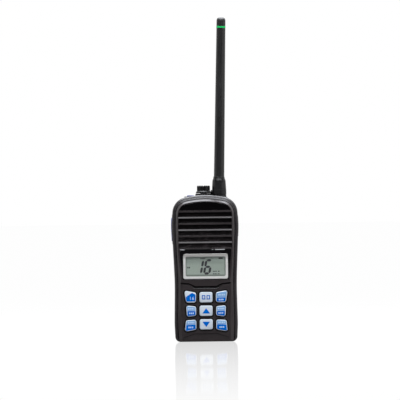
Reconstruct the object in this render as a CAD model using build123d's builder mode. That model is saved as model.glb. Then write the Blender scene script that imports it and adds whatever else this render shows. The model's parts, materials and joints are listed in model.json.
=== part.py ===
from build123d import *
import os
from math import atan2, copysign, cos, pi, radians, remainder, sin, tan

os.makedirs("parts", exist_ok=True)

# A handheld VHF marine radio. Millimetres, +Z up, and the front faces -Y.
# The origin lies on the flat bottom, x = 0 halves the case and y = 0 is its middle depth.

# Case silhouette: half widths at their heights, and how far each corner's round reaches along its sides
foot_half = 28.95
foot_blend = 4.75
hip_half = 29.75
hip_height = 17.0
hip_blend = 3.7
waist_half = 29.0
waist_height = 55.0
waist_blend = 10.4
shoulder_half = 31.3
shoulder_height = 110.0
shoulder_blend = 6.1
crown_inset = 1.5
crown_blend = 12.0
crown_apex = 138.9
crown_angle = 10.0
apex_blend = 14.1
least_radius = 0.6

# Depths of the case
face_y = -19.0
rim_y = -14.0
ledge_y = -9.0
back_y = 8.0
head_back_y = 15.0
head_floor_z = 98.4
control_y = 0.5

# Rear case
case_wall = 2.5
back_wall = 2.0
crown_wall = 4.5
rim_width = 3.0
rim_crown = 3.7
rim_round = 2.3
head_edge = 2.2
ledge_width = 2.4
ledge_depth = 2.0
foot_room = 5.0
cut_over = 0.01
cut_past = 1.0

# Front shell
seam_gap = 0.4
shell_foot = 0.4
shell_wall = 2.0
face_wall = 2.4
flank_depth = 3.0
low_flank = 7.25
low_flank_height = 34.0
low_flank_blend = 8.5
basin_flank = 6.1
basin_height = 55.0
basin_blend = 0.95
high_flank = 5.6
high_flank_height = 82.0
high_flank_blend = 3.1
face_foot_blend = 0.6
face_crown_gap = 5.8
face_crown_blend = 9.2
gasket_thickness = 0.8
gasket_width = 1.4

# Keypad field, its brow line and the chin below the keys
field_drop = 0.8
brow_side_margin = 0.6
brow_side_z = 55.8
brow_bend = (16.0, 55.1)
brow_flat = (9.8, 52.3)
brow_groove = 1.1
brow_bevel = 1.0
brow_groove_depth = 0.9
chin_margin = 0.5
chin_foot_rise = 0.2
chin_side_z = 4.0
chin_bend_half = 10.8
chin_top_z = 7.3
chin_step = 0.3
chin_slope_depth = 1.1

# Keys: three columns of three; the middle column is regular, the side columns fan out
key_pitch = 12.7
key_middle_z = 29.1
key_half_width = 6.1
key_height = 9.7
key_web = 3.2
key_round = 1.8
side_key_round = 2.1
key_gap = 0.5
key_rise = 1.4
key_edge = 0.35
key_flange = 0.9
key_flange_thickness = 0.6
key_flange_gap = 0.2
key_travel = 0.7
side_key_margin = 1.2
# each row: outer top (inset, dz), inner top dz, inner bottom dz, outer bottom (inset, dz)
side_key_shapes = {
    "upper": ((0.0, 6.5), 4.4, -4.8, (1.9, -4.9)),
    "middle": ((1.7, 5.1), 4.1, -4.6, (2.5, -5.5)),
    "lower": ((1.5, 3.9), 4.5, -4.9, (0.4, -6.9)),
}
mat_gap = 0.1

# Grille
slot_count = 6
slot_pitch = 5.82
slot_height = 4.1
slot_margin = 0.8
slot_top_z = 119.4
slot_flare_side = 0.4
slot_flare_drop = 1.3
slot_flare_depth = 1.0
cloth_thickness = 0.4
cloth_room = 0.2
cloth_margin = 0.4

# Plate above the grille
plate_margin = 1.3
plate_foot_z = 123.2
plate_foot_blend = 0.85
plate_shoulder_inset = 2.7
plate_shoulder_z = 128.3
plate_shoulder_blend = 2.4
plate_apex_z = 132.3
plate_apex_blend = 9.6
plate_depth = 0.7
plate_proud = 0.1
plate_clearance = 0.1

# Display
panel_top_margin = 1.3
panel_top_z = 86.9
panel_foot_margin = 1.0
panel_foot_z = 58.0
panel_round = 0.7
panel_depth = 1.1
panel_proud = 0.1
frame_margin = 0.9
frame_top_z = 82.6
frame_foot_z = 58.9
frame_round = 2.0
frame_proud = 0.5
frame_edge = 0.3
view_margin = 2.3
view_top_z = 79.9
view_foot_z = 61.4
view_round = 1.5
lens_thickness = 0.8
lens_inset = 0.2
lcd_gap = 0.1
lcd_margin = 0.3
lcd_thickness = 1.5

# Boards and chassis
board_y = -14.2
board_thickness = 1.2
board_margin = 7.5
board_foot_z = 9.0
board_top_z = 84.0
stake_width = 1.6
stake_foot_width = 3.2
stake_clearance = 0.05
stake_low_margin = 1.5
stake_low_z = 53.5
stake_high_margin = 1.1
stake_high_z = 81.8
main_board_y = 1.0
main_board_thickness = 1.4
main_board_margin = 5.5
main_board_foot_z = 12.0
main_board_top_z = 88.0
can_half = 16.0
can_foot_z = 34.0
can_top_z = 72.0
can_height = 4.0
can_wall = 0.4
chassis_plate = 2.0
chassis_post = 4.4
chassis_rib = 1.2
chassis_rib_pitch = 12.0
chassis_foot_z = 21.0

# Speaker and microphone
speaker_z = 105.0
speaker_radius = 18.0
speaker_depth = 5.2
basket_wall = 0.8
cone_gap = 0.4
cone_radius = 16.8
magnet_radius = 9.0
magnet_depth = 4.0
mic_margin = 2.5
mic_z = 90.5
mic_radius = 3.0
mic_depth = 2.2

# Case screws
screw_shank_radius = 1.0
screw_head_radius = 2.1
screw_head_depth = 1.1
screw_head_sink = 0.1
screw_clearance = 0.2
screw_bite = 8.0
screw_end_gap = 0.5
boss_radius = 2.3
screw_x = 16.0
screw_z = 5.8

# Hook of the front shell, behind the ledge at the top
top_hook_half = 6.0
top_hook_thickness = 1.5
top_hook_gap = 0.45
top_hook_lip = 1.5
top_hook_back_y = -5.5

# Volume control
knob_x = -1.1
knob_seat_z = 136.8
knob_seat_radius = 8.1
collar_radius = 7.6
collar_height = 2.2
collar_edge = 0.3
bush_rise = 0.6
knob_lift = 0.3
skirt_radius = 7.1
skirt_height = 1.2
waist_top = 2.3
knob_neck_radius = 6.0
knob_radius = 6.15
knob_height = 7.2
knob_edge = 0.8
knob_brow = 0.35
grip_slope = 0.2
flute_count = 6
flute_turn = 30.0
flute_radius = 1.7
flute_depth = 1.4
dish_radius = 4.9
dish_depth = 0.5
shaft_radius = 3.0
shaft_flat = 0.8
shaft_reach = 5.4
shaft_tail = 2.0
shaft_end_gap = 0.2
running_gap = 0.05
pot_half = 5.5
pot_height = 8.0
pot_bush_radius = 4.0
pot_roof_gap = 0.3

# Antenna
antenna_x = 13.6
antenna_seat_z = 135.8
antenna_seat_radius = 7.1
antenna_mound_radius = 8.9
antenna_mound_height = 2.3
antenna_lean = 1.4
seal_radius = 6.7
seal_height = 1.9
seal_edge = 0.4
boot_radius = 6.8
boot_seam_height = 4.9
boot_seam_radius = 6.7
boot_seam_depth = 0.2
boot_bend_height = 12.0
boot_shoulder_height = 13.5
boot_shoulder_radius = 6.2
boot_neck_height = 17.1
boot_neck_radius = 5.5
boot_neck_drop = 1.8
boot_edge = 0.3
boot_slot_count = 6
boot_slot_width = 1.7
boot_slot_depth = 0.9
boot_slot_length = 4.6
boot_slot_turn = 0.0
whip_foot_radius = 4.9
whip_tip_radius = 4.2
whip_stub_radius = 3.2
whip_stub = 6.0
whip_length = 139.7
band_height = 1.7
band_proud = 0.12
tip_height = 8.2
# dome of the tip: share of its radius at each share of its height
dome_steps = [(1.0, 0.66), (0.92, 0.83), (0.72, 0.94), (0.42, 1.0)]
tip_pip_radius = 0.9
tip_pip_depth = 0.5
core_radius = 1.2
core_top_margin = 10.0
jack_radius = 4.6
jack_roof_drop = 2.3
jack_tube_radius = 3.4
jack_tube_rise = 1.2
jack_depth = 8.8
jack_hole_gap = 0.1
plug_radius = 2.2
plug_gap = 0.05
plug_drop = 7.0
plug_rise = 5.0
plug_head_radius = 3.0

# Top button
button_x = -13.35
button_width = 6.5
button_length = 9.0
button_round = 2.4
button_top_z = 137.4
button_edge = 0.4
button_gap = 0.3
button_flange = 0.7
button_flange_thickness = 0.9
button_travel = 1.0
bezel_seat_z = 135.6
bezel_width = 11.5
bezel_length = 13.0
bezel_round = 3.0
bezel_thickness = 0.8
bezel_gap = 0.2
bezel_edge = 0.3
sleeve_wall = 1.0
sleeve_foot_z = 131.8
button_rest_gap = 0.2
crown_margin = 0.4
top_shelf_z = 122.2
top_shelf_thickness = 1.5
top_switch_size = 6.0
top_switch_gap = 0.3
switch_stem = 1.0

# Push-to-talk button on the left side
ptt_foot_z = 91.7
ptt_top_z = 119.4
ptt_depth = 12.0
ptt_round = 4.0
ptt_bezel_proud = 0.3
ptt_proud = 0.8
ptt_bezel_width = 2.6
ptt_gap = 0.3
ptt_flange = 1.0
ptt_flange_thickness = 0.9
ptt_rest_gap = 0.15
ptt_travel = 1.2
ptt_switch_gap = 0.3
ptt_switch_size = 6.0
ptt_switch_depth = 3.6
ptt_web = 2.0

# Accessory socket and its rubber cover on the right side
cover_foot_z = 98.6
cover_top_z = 118.0
cover_depth = 10.0
cover_round = 2.0
cover_thickness = 1.4
cover_proud = 0.25
cover_gap = 0.3
cover_peg_radius = 1.2
cover_peg_sink = 0.2
cover_peg_root = 0.5
socket_block_foot_z = 101.5
socket_block_top_z = 116.5
socket_block_depth = 8.0
socket_block_reach = 10.5
large_socket_radius = 1.8
small_socket_radius = 1.3
large_socket_z = 112.2
small_socket_z = 105.2
socket_depth = 9.0
port_margin = 0.6

# Battery pack
pack_side_gap = 1.2
pack_gap = 0.2
pack_foot_z = 0.3
pack_top_z = 97.0
pack_back_y = 19.0
pack_split_y = 12.0
pack_wall = 1.5
pack_round = 4.0
pack_top_round = 1.2
pack_roof_flat = 0.5
pack_swing = 20.0
cell_side_room = 2.6
cell_gap = 0.6
cell_clearance = 0.2
cell_foot_z = 14.0
cell_top_z = 88.0
hook_half = 3.0
hook_centre = 12.0
hook_reach = 1.4
hook_drop = 2.2
hook_room_side = 0.4
hook_room_low = 1.6
hook_room_high = 0.3
contact_pitch = 5.0
contact_z = 15.0
contact_width = 2.4
contact_height = 3.4
contact_inset = 0.4
contact_pin = 1.6
contact_pin_rise = 0.4
contact_block_half = 8.0
contact_block_height = 5.0
contact_window_gap = 0.15

# Battery latch
latch_half = 8.0
latch_foot_z = 2.2
latch_top_z = 9.2
latch_thickness = 3.6
latch_travel = 1.8
latch_gap = 0.3
latch_arm_half = 5.0
latch_arm_foot_z = 3.2
latch_arm_height = 1.8
latch_tongue = 1.5
latch_rib_count = 4
latch_rib_pitch = 1.6
latch_rib_width = 0.7
latch_rib_proud = 0.5

# Belt clip
bracket_half = 10.0
bracket_foot_z = 68.0
bracket_top_z = 88.0
bracket_thickness = 1.5
ear_thickness = 2.0
ear_height = 10.0
pin_y = 22.9
pin_z = 79.0
pin_radius = 1.0
pin_gap = 0.06
pin_head_radius = 1.6
pin_head = 0.7
clip_half = 7.6
clip_thickness = 1.8
clip_front_y = 24.9
clip_top_z = 90.0
clip_foot_z = 24.0
clip_tip_gap = 0.5
clip_hook_height = 7.0
clip_hub_radius = 2.2
clip_rib_count = 4
clip_rib_pitch = 1.8
spring_wire = 0.5
spring_radius = 1.75
spring_half = 2.4
clip_screw_spots = [(0, 71.5), (0, 85.0)]
clip_screw_head_radius = 1.7
clip_screw_head_depth = 0.7
clip_screw_radius = 0.9

# Lanyard eye on the back of the head
eye_x = -14.6
eye_half = 2.2
eye_z = 126.0
eye_radius = 3.5
eye_bore = 1.7
eye_stand = 2.9

crown_half = shoulder_half - crown_inset
crown_slope = tan(radians(crown_angle))
apex_radius = apex_blend / crown_slope
apex_sagitta = 1 / cos(radians(crown_angle)) - 1
face_low_half = foot_half - low_flank
face_basin_half = waist_half - basin_flank
face_high_half = shoulder_half - high_flank
plate_half = face_high_half - plate_margin
slot_half = face_high_half - slot_margin
panel_top_half = face_high_half - panel_top_margin
panel_foot_half = face_basin_half - panel_foot_margin
frame_half = min(panel_top_half, panel_foot_half) - frame_margin
view_half = frame_half - view_margin
side_key_half = face_low_half - side_key_margin
chin_half = face_low_half - chin_margin
brow_side = (face_basin_half + brow_side_margin, brow_side_z)
board_half = waist_half - board_margin
main_board_half = waist_half - case_wall - main_board_margin
shell_edge_y = face_y + flank_depth
face_inner_y = face_y + face_wall
field_y = face_y + field_drop
skirt_back_y = ledge_y - gasket_thickness
shell_gap = rim_width + seam_gap
shell_crown = rim_crown + seam_gap
cavity_back_y = back_y - back_wall
head_cavity_y = head_back_y - back_wall
key_rows = {"upper": 1, "middle": 0, "lower": -1}


def front(y):
    # plane at depth y that looks toward the viewer, with x to the right and z up
    return Plane.XZ.offset(-y)


def side(x):
    # plane at x that looks toward +X, with y to the right and z up
    return Plane.YZ.offset(x)


def corner_radius(before, corner, after, blend, inset):
    # radius of a round that takes the length blend from both sides of a corner, for a line set in by inset
    arriving = atan2(corner[1] - before[1], corner[0] - before[0])
    leaving = atan2(after[1] - corner[1], after[0] - corner[0])
    turn = remainder(leaving - arriving, 2 * pi)
    return max(blend / tan(abs(turn) / 2) - copysign(inset, turn), least_radius)


def mirrored_face(half, apex, blends, apex_reach, inset=0):
    # closed face from its right half outline and the point on the middle line
    points = half + [(0, apex)] + [(-x, z) for x, z in reversed(half)]
    reaches = blends + [apex_reach] + blends[::-1]
    following = points[1:] + points[:1]
    radii = [
        corner_radius(points[i - 1], point, following[i], reaches[i], inset)
        for i, point in enumerate(points)
    ]
    with BuildSketch() as sketch:
        with BuildLine():
            FilletPolyline(*points, radius=radii, close=True)
        make_face()
    return sketch.sketch


def case_face(side_gap, crown_gap, foot_gap):
    # case silhouette set in by the given gaps
    apex = crown_apex - crown_gap
    corner_half = crown_half - side_gap
    half = [
        (foot_half - side_gap, foot_gap),
        (hip_half - side_gap, hip_height),
        (waist_half - side_gap, waist_height),
        (shoulder_half - side_gap, shoulder_height),
        (corner_half, apex - crown_slope * corner_half),
    ]
    blends = [foot_blend, hip_blend, waist_blend, shoulder_blend, crown_blend]
    return mirrored_face(half, apex, blends, apex_blend, side_gap)


def cavity_face(gap=0):
    # inner face of the rear case's side walls, set in by a further gap
    return case_face(case_wall + gap, crown_wall, case_wall)


def front_face():
    # flat front of the shell, inside the sloped flanks
    apex = crown_apex - face_crown_gap
    half = [
        (face_low_half, shell_foot),
        (face_low_half, low_flank_height),
        (face_basin_half, basin_height),
        (face_high_half, high_flank_height),
        (face_high_half, apex - crown_slope * face_high_half),
    ]
    blends = [face_foot_blend, low_flank_blend, basin_blend, high_flank_blend, face_crown_blend]
    return mirrored_face(half, apex, blends, apex_blend)


def rounded_face(points, radius):
    with BuildSketch() as sketch:
        with BuildLine():
            FilletPolyline(*points, radius=radius, close=True)
        make_face()
    return sketch.sketch


def key_points(column, row):
    # corners of one key cap seen from the front
    z = key_middle_z + key_rows[row] * key_pitch
    if column == "centre":
        x, rise = key_half_width, key_height / 2
        return [(x, z + rise), (x, z - rise), (-x, z - rise), (-x, z + rise)]
    outer_top, inner_top, inner_foot, outer_foot = side_key_shapes[row]
    inner = key_half_width + key_web
    sign = -1 if column == "left" else 1
    return [
        (sign * (side_key_half - outer_top[0]), z + outer_top[1]),
        (sign * inner, z + inner_top),
        (sign * inner, z + inner_foot),
        (sign * (side_key_half - outer_foot[0]), z + outer_foot[1]),
    ]


def key_face(column, row, grow):
    # outline of a key cap with round corners, grown evenly
    radius = key_round if column == "centre" else side_key_round
    with BuildSketch() as sketch:
        add(rounded_face(key_points(column, row), radius))
        if grow:
            offset(amount=grow, kind=Kind.ARC)
    return sketch.sketch


def key_flange_face(column, row):
    # outline of the flange behind a key cap, with square corners
    with BuildSketch() as sketch:
        Polygon(*key_points(column, row), align=None)
        offset(amount=key_flange, kind=Kind.INTERSECTION)
    return sketch.sketch


def brow_band(drop):
    # band that hangs from the brow line by the given drop
    edge = [brow_side, brow_bend, brow_flat]
    top = [(-x, z) for x, z in edge] + [(x, z) for x, z in reversed(edge)]
    return Polygon(*top, *[(x, z - drop) for x, z in reversed(top)], align=None, mode=Mode.PRIVATE)


def panel_face(grow):
    corners = [
        (panel_top_half + grow, panel_top_z + grow),
        (panel_foot_half + grow, panel_foot_z - grow),
        (-panel_foot_half - grow, panel_foot_z - grow),
        (-panel_top_half - grow, panel_top_z + grow),
    ]
    return rounded_face(corners, panel_round)


def plate_face(gap):
    half = [
        (plate_half - gap, plate_foot_z + gap),
        (plate_half - plate_shoulder_inset - gap, plate_shoulder_z - gap),
    ]
    blends = [plate_foot_blend, plate_shoulder_blend]
    return mirrored_face(half, plate_apex_z - gap, blends, plate_apex_blend, gap)


def window_face(half, foot_z, top_z, radius):
    with BuildSketch() as sketch:
        with Locations((0, (foot_z + top_z) / 2)):
            RectangleRounded(2 * half, top_z - foot_z, radius)
    return sketch.sketch


def box_face(left, right, foot_z, top_z):
    with BuildSketch() as sketch:
        with Locations(((left + right) / 2, (foot_z + top_z) / 2)):
            Rectangle(right - left, top_z - foot_z)
    return sketch.sketch


# ---- rear case: one moulding, with the head that carries the controls ----
screw_spots = [(-screw_x, screw_z), (screw_x, screw_z)]
stake_spots = [
    (sign * (board_half - margin), z)
    for margin, z in ((stake_low_margin, stake_low_z), (stake_high_margin, stake_high_z))
    for sign in (-1, 1)
]
hinge_y = back_y + pack_gap + pack_top_round
hinge_z = pack_top_z - pack_top_round
cover_centre_z = (cover_foot_z + cover_top_z) / 2
ptt_centre_z = (ptt_foot_z + ptt_top_z) / 2
ptt_height = ptt_top_z - ptt_foot_z
case_right = shoulder_half + 2.0
port_half_height = (socket_block_top_z - socket_block_foot_z) / 2 - port_margin
port_centre_z = (socket_block_top_z + socket_block_foot_z) / 2
ptt_inner_x = shoulder_half - case_wall - ptt_rest_gap - ptt_flange_thickness
web_x = -(ptt_inner_x - ptt_travel - ptt_switch_gap - ptt_switch_depth)
roof_z = crown_apex - crown_wall - (apex_radius - case_wall) * apex_sagitta

with BuildPart() as rear_case:
    with BuildSketch(front(rim_y)):
        add(case_face(0, 0, 0))
    extrude(amount=rim_y - back_y)
    with BuildSketch(front(back_y)):
        add(case_face(0, 0, 0))
        add(box_face(-2 * shoulder_half, 2 * shoulder_half, -1, head_floor_z), mode=Mode.SUBTRACT)
    extrude(amount=back_y - head_back_y)
    fillet(rear_case.faces().sort_by(Axis.Y)[0].edges(), rim_round)
    head_rear = rear_case.faces().sort_by(Axis.Y)[-1].edges()
    chamfer(head_rear.filter_by_position(Axis.Z, head_floor_z + 1, crown_apex), head_edge)
    # opening for the front shell, its ledge, and the room behind
    with BuildSketch(front(rim_y)):
        add(case_face(rim_width, rim_crown, -foot_room))
    extrude(amount=rim_y - ledge_y, mode=Mode.SUBTRACT)
    with BuildSketch(front(ledge_y)):
        add(case_face(rim_width + ledge_width, rim_crown + ledge_width, case_wall))
    extrude(amount=-ledge_depth, mode=Mode.SUBTRACT)
    with BuildSketch(front(ledge_y + ledge_depth)):
        add(cavity_face())
    extrude(amount=ledge_y + ledge_depth - cavity_back_y, mode=Mode.SUBTRACT)
    with BuildSketch(front(cavity_back_y)):
        add(cavity_face())
        add(
            box_face(-2 * shoulder_half, 2 * shoulder_half, -1, head_floor_z + case_wall),
            mode=Mode.SUBTRACT,
        )
    extrude(amount=cavity_back_y - head_cavity_y, mode=Mode.SUBTRACT)
    # shelf under the top button and web behind the push-to-talk button
    with BuildSketch(Plane.XY.offset(top_shelf_z)):
        with Locations((button_x, (control_y - top_switch_size + head_cavity_y) / 2)):
            Rectangle(top_switch_size + 2, head_cavity_y - control_y + top_switch_size)
    extrude(amount=top_shelf_thickness)
    with BuildSketch(side(web_x)):
        with Locations(((head_cavity_y + control_y - ptt_switch_size / 2) / 2, ptt_centre_z)):
            Rectangle(head_cavity_y - control_y + ptt_switch_size / 2, ptt_switch_size + 2)
    extrude(amount=ptt_web)
    # mound around the antenna's seat, then flat seats in the crown with a hole through each
    with Locations((antenna_x, control_y, antenna_seat_z - antenna_mound_height)):
        Cone(
            bottom_radius=antenna_mound_radius,
            top_radius=antenna_seat_radius,
            height=antenna_mound_height,
            align=(Align.CENTER, Align.CENTER, Align.MIN),
        )
    with BuildSketch(Plane.XY.offset(knob_seat_z)):
        with Locations((knob_x, control_y)):
            Circle(knob_seat_radius)
    extrude(amount=crown_apex, mode=Mode.SUBTRACT)
    with BuildSketch(Plane.XY.offset(antenna_seat_z)):
        with Locations((antenna_x, control_y)):
            Circle(antenna_seat_radius)
    extrude(amount=crown_apex, mode=Mode.SUBTRACT)
    with BuildSketch(Plane.XY.offset(bezel_seat_z)):
        with Locations((button_x, control_y)):
            RectangleRounded(bezel_width + bezel_gap, bezel_length + bezel_gap, bezel_round)
    extrude(amount=crown_apex, mode=Mode.SUBTRACT)
    with BuildSketch(Plane.XY.offset(roof_z - crown_wall)):
        with Locations((knob_x, control_y)):
            Circle(pot_bush_radius + jack_hole_gap)
        with Locations((antenna_x, control_y)):
            Circle(jack_tube_radius + jack_hole_gap)
        with Locations((button_x, control_y)):
            RectangleRounded(
                button_width + 2 * (button_gap + sleeve_wall),
                button_length + 2 * (button_gap + sleeve_wall),
                button_round + button_gap + sleeve_wall,
            )
    extrude(amount=crown_apex, mode=Mode.SUBTRACT)
    # push-to-talk opening in the left wall
    with BuildSketch(side(-case_right)):
        with Locations((control_y, ptt_centre_z)):
            RectangleRounded(ptt_depth, ptt_height, ptt_round)
    extrude(amount=case_right + web_x, mode=Mode.SUBTRACT)
    # recess for the socket cover in the right wall, and the port through it
    with BuildSketch(front(control_y + cover_depth / 2 + cover_gap)):
        add(box_face(waist_half / 2, case_right, cover_foot_z - cover_gap, cover_top_z + cover_gap))
        add(case_face(cover_thickness - cover_proud, 0, 0), mode=Mode.SUBTRACT)
    extrude(amount=cover_depth + 2 * cover_gap, mode=Mode.SUBTRACT)
    with BuildSketch(side(case_right)):
        with Locations((control_y, port_centre_z)):
            RectangleRounded(socket_block_depth - 2 * port_margin, 2 * port_half_height, cover_round)
    extrude(amount=waist_half - case_right - case_wall, mode=Mode.SUBTRACT)
    # screw holes with sunk heads
    with BuildSketch(front(back_y)):
        with Locations(*screw_spots):
            Circle(screw_head_radius + screw_clearance)
    extrude(amount=screw_head_depth, mode=Mode.SUBTRACT)
    with BuildSketch(front(back_y)):
        with Locations(*screw_spots):
            Circle(screw_shank_radius + screw_clearance)
    extrude(amount=back_wall, mode=Mode.SUBTRACT)
    # slots for the pack's hooks, catch for its latch, window for its contacts
    with BuildSketch(front(back_y)):
        for centre in (-hook_centre, hook_centre):
            add(
                box_face(
                    centre - hook_half - hook_room_side,
                    centre + hook_half + hook_room_side,
                    hinge_z - hook_drop - hook_room_low,
                    pack_top_z + hook_room_high,
                )
            )
        add(
            box_face(
                -latch_arm_half - latch_gap,
                latch_arm_half + latch_gap,
                latch_arm_foot_z - latch_gap,
                latch_arm_foot_z + latch_arm_height + latch_travel + latch_gap,
            )
        )
        add(
            box_face(
                -contact_block_half - contact_window_gap,
                contact_block_half + contact_window_gap,
                contact_z - contact_block_height / 2 - contact_window_gap,
                contact_z + contact_block_height / 2 + contact_window_gap,
            )
        )
    extrude(amount=back_wall, mode=Mode.SUBTRACT)
    # lanyard eye
    with BuildSketch(side(eye_x - eye_half)):
        with Locations((head_back_y + eye_stand, eye_z)):
            Circle(eye_radius)
        with Locations((head_back_y + (eye_stand - back_wall / 2) / 2, eye_z)):
            Rectangle(eye_stand + back_wall / 2, 2 * eye_radius)
        with Locations((head_back_y + eye_stand, eye_z)):
            Circle(eye_bore, mode=Mode.SUBTRACT)
    extrude(amount=2 * eye_half)
rear_case.part.label = "rear_case"
export_step(rear_case.part, "parts/rear_case.step")

# ---- front shell ----
ledge_crown_z = crown_apex - rim_crown - ledge_width - apex_radius * apex_sagitta
top_hook_z = ledge_crown_z - top_hook_half**2 / (2 * apex_radius) - top_hook_gap
top_hook_front_y = ledge_y + ledge_depth + top_hook_gap
with BuildPart() as front_shell:
    with BuildSketch(front(shell_edge_y)):
        add(case_face(shell_gap, shell_crown, shell_foot))
    extrude(amount=shell_edge_y - skirt_back_y)
    with BuildSketch(front(shell_edge_y)):
        add(case_face(shell_gap, shell_crown, shell_foot))
    with BuildSketch(front(face_y)):
        add(front_face())
    loft(ruled=True)
    with BuildSketch(front(skirt_back_y)):
        add(
            case_face(
                shell_gap + shell_wall,
                shell_crown + shell_wall,
                shell_foot + shell_wall,
            )
        )
    extrude(amount=skirt_back_y - face_inner_y, mode=Mode.SUBTRACT)
    # bosses for the case screws, hook for the ledge at the top and stakes for the control board
    with BuildSketch(front(cavity_back_y)):
        with Locations(*screw_spots):
            Circle(boss_radius)
    extrude(amount=cavity_back_y - face_inner_y)
    with BuildSketch(front(cavity_back_y)):
        with Locations(*screw_spots):
            Circle(screw_shank_radius + running_gap)
    extrude(amount=screw_bite, mode=Mode.SUBTRACT)
    with BuildSketch(side(-top_hook_half)):
        with BuildLine():
            Polyline(
                (face_inner_y, top_hook_z - top_hook_thickness),
                (top_hook_back_y, top_hook_z - top_hook_thickness),
                (top_hook_back_y, top_hook_z + top_hook_lip),
                (top_hook_front_y, top_hook_z + top_hook_lip),
                (top_hook_front_y, top_hook_z),
                (skirt_back_y, top_hook_z),
                (skirt_back_y, top_hook_z + shell_wall / 2),
                (face_inner_y, top_hook_z + shell_wall / 2),
                close=True,
            )
        make_face()
    extrude(amount=2 * top_hook_half)
    with BuildSketch(front(board_y)):
        with Locations(*stake_spots):
            Rectangle(stake_foot_width, stake_foot_width)
    extrude(amount=board_y - face_inner_y)
    with BuildSketch(front(board_y + board_thickness)):
        with Locations(*stake_spots):
            Rectangle(stake_width, stake_width)
    extrude(amount=board_thickness)
    # keypad field, one step below the face, with the groove and bevel under the brow
    with BuildSketch(front(field_y)):
        add(brow_band(brow_flat[1] + foot_room))
        add(box_face(-shoulder_half, shoulder_half, -foot_room, brow_flat[1] - brow_bevel))
    extrude(amount=2 * field_drop, mode=Mode.SUBTRACT)
    with BuildSketch(front(field_y - cut_over)):
        add(brow_band(brow_groove + brow_bevel))
    with BuildSketch(front(field_y + brow_groove_depth)):
        add(brow_band(brow_groove))
    loft(ruled=True, mode=Mode.SUBTRACT)
    # chin facet, an arch one small step down that slopes back to the bottom edge
    chin_edge = [(chin_half, chin_side_z), (chin_bend_half, chin_top_z)]
    chin_arch = chin_edge + [(-x, z) for x, z in reversed(chin_edge)]
    with BuildSketch(front(field_y + chin_step)):
        Polygon((chin_half, -cut_past), *chin_arch, (-chin_half, -cut_past), align=None)
    extrude(amount=2 * field_drop, mode=Mode.SUBTRACT)
    with BuildSketch(front(field_y + chin_step)):
        Polygon((chin_half, -cut_past), *chin_arch, (-chin_half, -cut_past), align=None)
    with BuildSketch(front(field_y + chin_slope_depth)):
        Polygon(
            (chin_half, -cut_past),
            (chin_half, shell_foot),
            (chin_bend_half, shell_foot + chin_foot_rise),
            (-chin_bend_half, shell_foot + chin_foot_rise),
            (-chin_half, shell_foot),
            (-chin_half, -cut_past),
            align=None,
        )
    loft(ruled=True, mode=Mode.SUBTRACT)
    # key openings
    with BuildSketch(front(face_inner_y)):
        for row in key_rows:
            for column in ("left", "centre", "right"):
                add(key_face(column, row, key_gap))
    extrude(amount=face_wall, mode=Mode.SUBTRACT)
    # grille: every second slot is flared at its lower lip, so that the bar below it slopes
    for index in range(slot_count):
        z = slot_top_z - index * slot_pitch
        slot_foot_z = z - slot_height / 2
        with BuildSketch(front(face_inner_y)):
            add(box_face(-slot_half, slot_half, slot_foot_z, z + slot_height / 2))
        extrude(amount=face_wall, mode=Mode.SUBTRACT)
        if index % 2 == 0:
            with BuildSketch(front(face_y + slot_flare_depth)):
                add(box_face(-slot_half, slot_half, slot_foot_z, z + slot_height / 2))
            with BuildSketch(front(face_y - cut_over)):
                add(
                    box_face(
                        -slot_half - slot_flare_side,
                        slot_half + slot_flare_side,
                        slot_foot_z - slot_flare_drop,
                        z + slot_height / 2,
                    )
                )
            loft(ruled=True, mode=Mode.SUBTRACT)
    # seats of the plate and of the display panel, and the window behind the panel
    with BuildSketch(front(face_y + plate_depth)):
        add(plate_face(0))
    extrude(amount=2 * plate_depth, mode=Mode.SUBTRACT)
    with BuildSketch(front(face_y + panel_depth)):
        add(panel_face(plate_clearance))
    extrude(amount=2 * panel_depth, mode=Mode.SUBTRACT)
    with BuildSketch(front(face_inner_y)):
        room = lcd_margin + lcd_gap
        add(box_face(-view_half - room, view_half + room, view_foot_z - room, view_top_z + room))
    extrude(amount=face_wall, mode=Mode.SUBTRACT)
front_shell.part.label = "front_shell"
export_step(front_shell.part, "parts/front_shell.step")

with BuildPart() as case_gasket:
    with BuildSketch(front(ledge_y)):
        add(case_face(shell_gap, shell_crown, shell_foot))
        add(
            case_face(
                shell_gap + gasket_width,
                shell_crown + gasket_width,
                shell_foot + gasket_width,
            ),
            mode=Mode.SUBTRACT,
        )
    extrude(amount=gasket_thickness)
case_gasket.part.label = "case_gasket"
export_step(case_gasket.part, "parts/case_gasket.step")

with BuildPart() as case_screws:
    with BuildSketch(front(back_y - screw_head_sink)):
        with Locations(*screw_spots):
            Circle(screw_head_radius)
    extrude(amount=screw_head_depth - screw_head_sink)
    with BuildSketch(front(back_y - screw_head_sink)):
        with Locations(*screw_spots):
            RegularPolygon(radius=screw_head_radius / 2, side_count=6)
    extrude(amount=screw_head_depth / 2, mode=Mode.SUBTRACT)
    with BuildSketch(front(back_y - screw_head_depth)):
        with Locations(*screw_spots):
            Circle(screw_shank_radius)
    extrude(amount=back_wall - screw_head_depth + screw_bite - screw_end_gap)
case_screws.part.label = "case_screws"
export_step(case_screws.part, "parts/case_screws.step")

# ---- front details ----
with BuildPart() as name_plate:
    with BuildSketch(front(face_y + plate_depth)):
        add(plate_face(plate_clearance))
    extrude(amount=plate_depth + plate_proud)
    chamfer(name_plate.faces().sort_by(Axis.Y)[0].edges(), plate_proud)
name_plate.part.label = "name_plate"
export_step(name_plate.part, "parts/name_plate.step")

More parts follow.
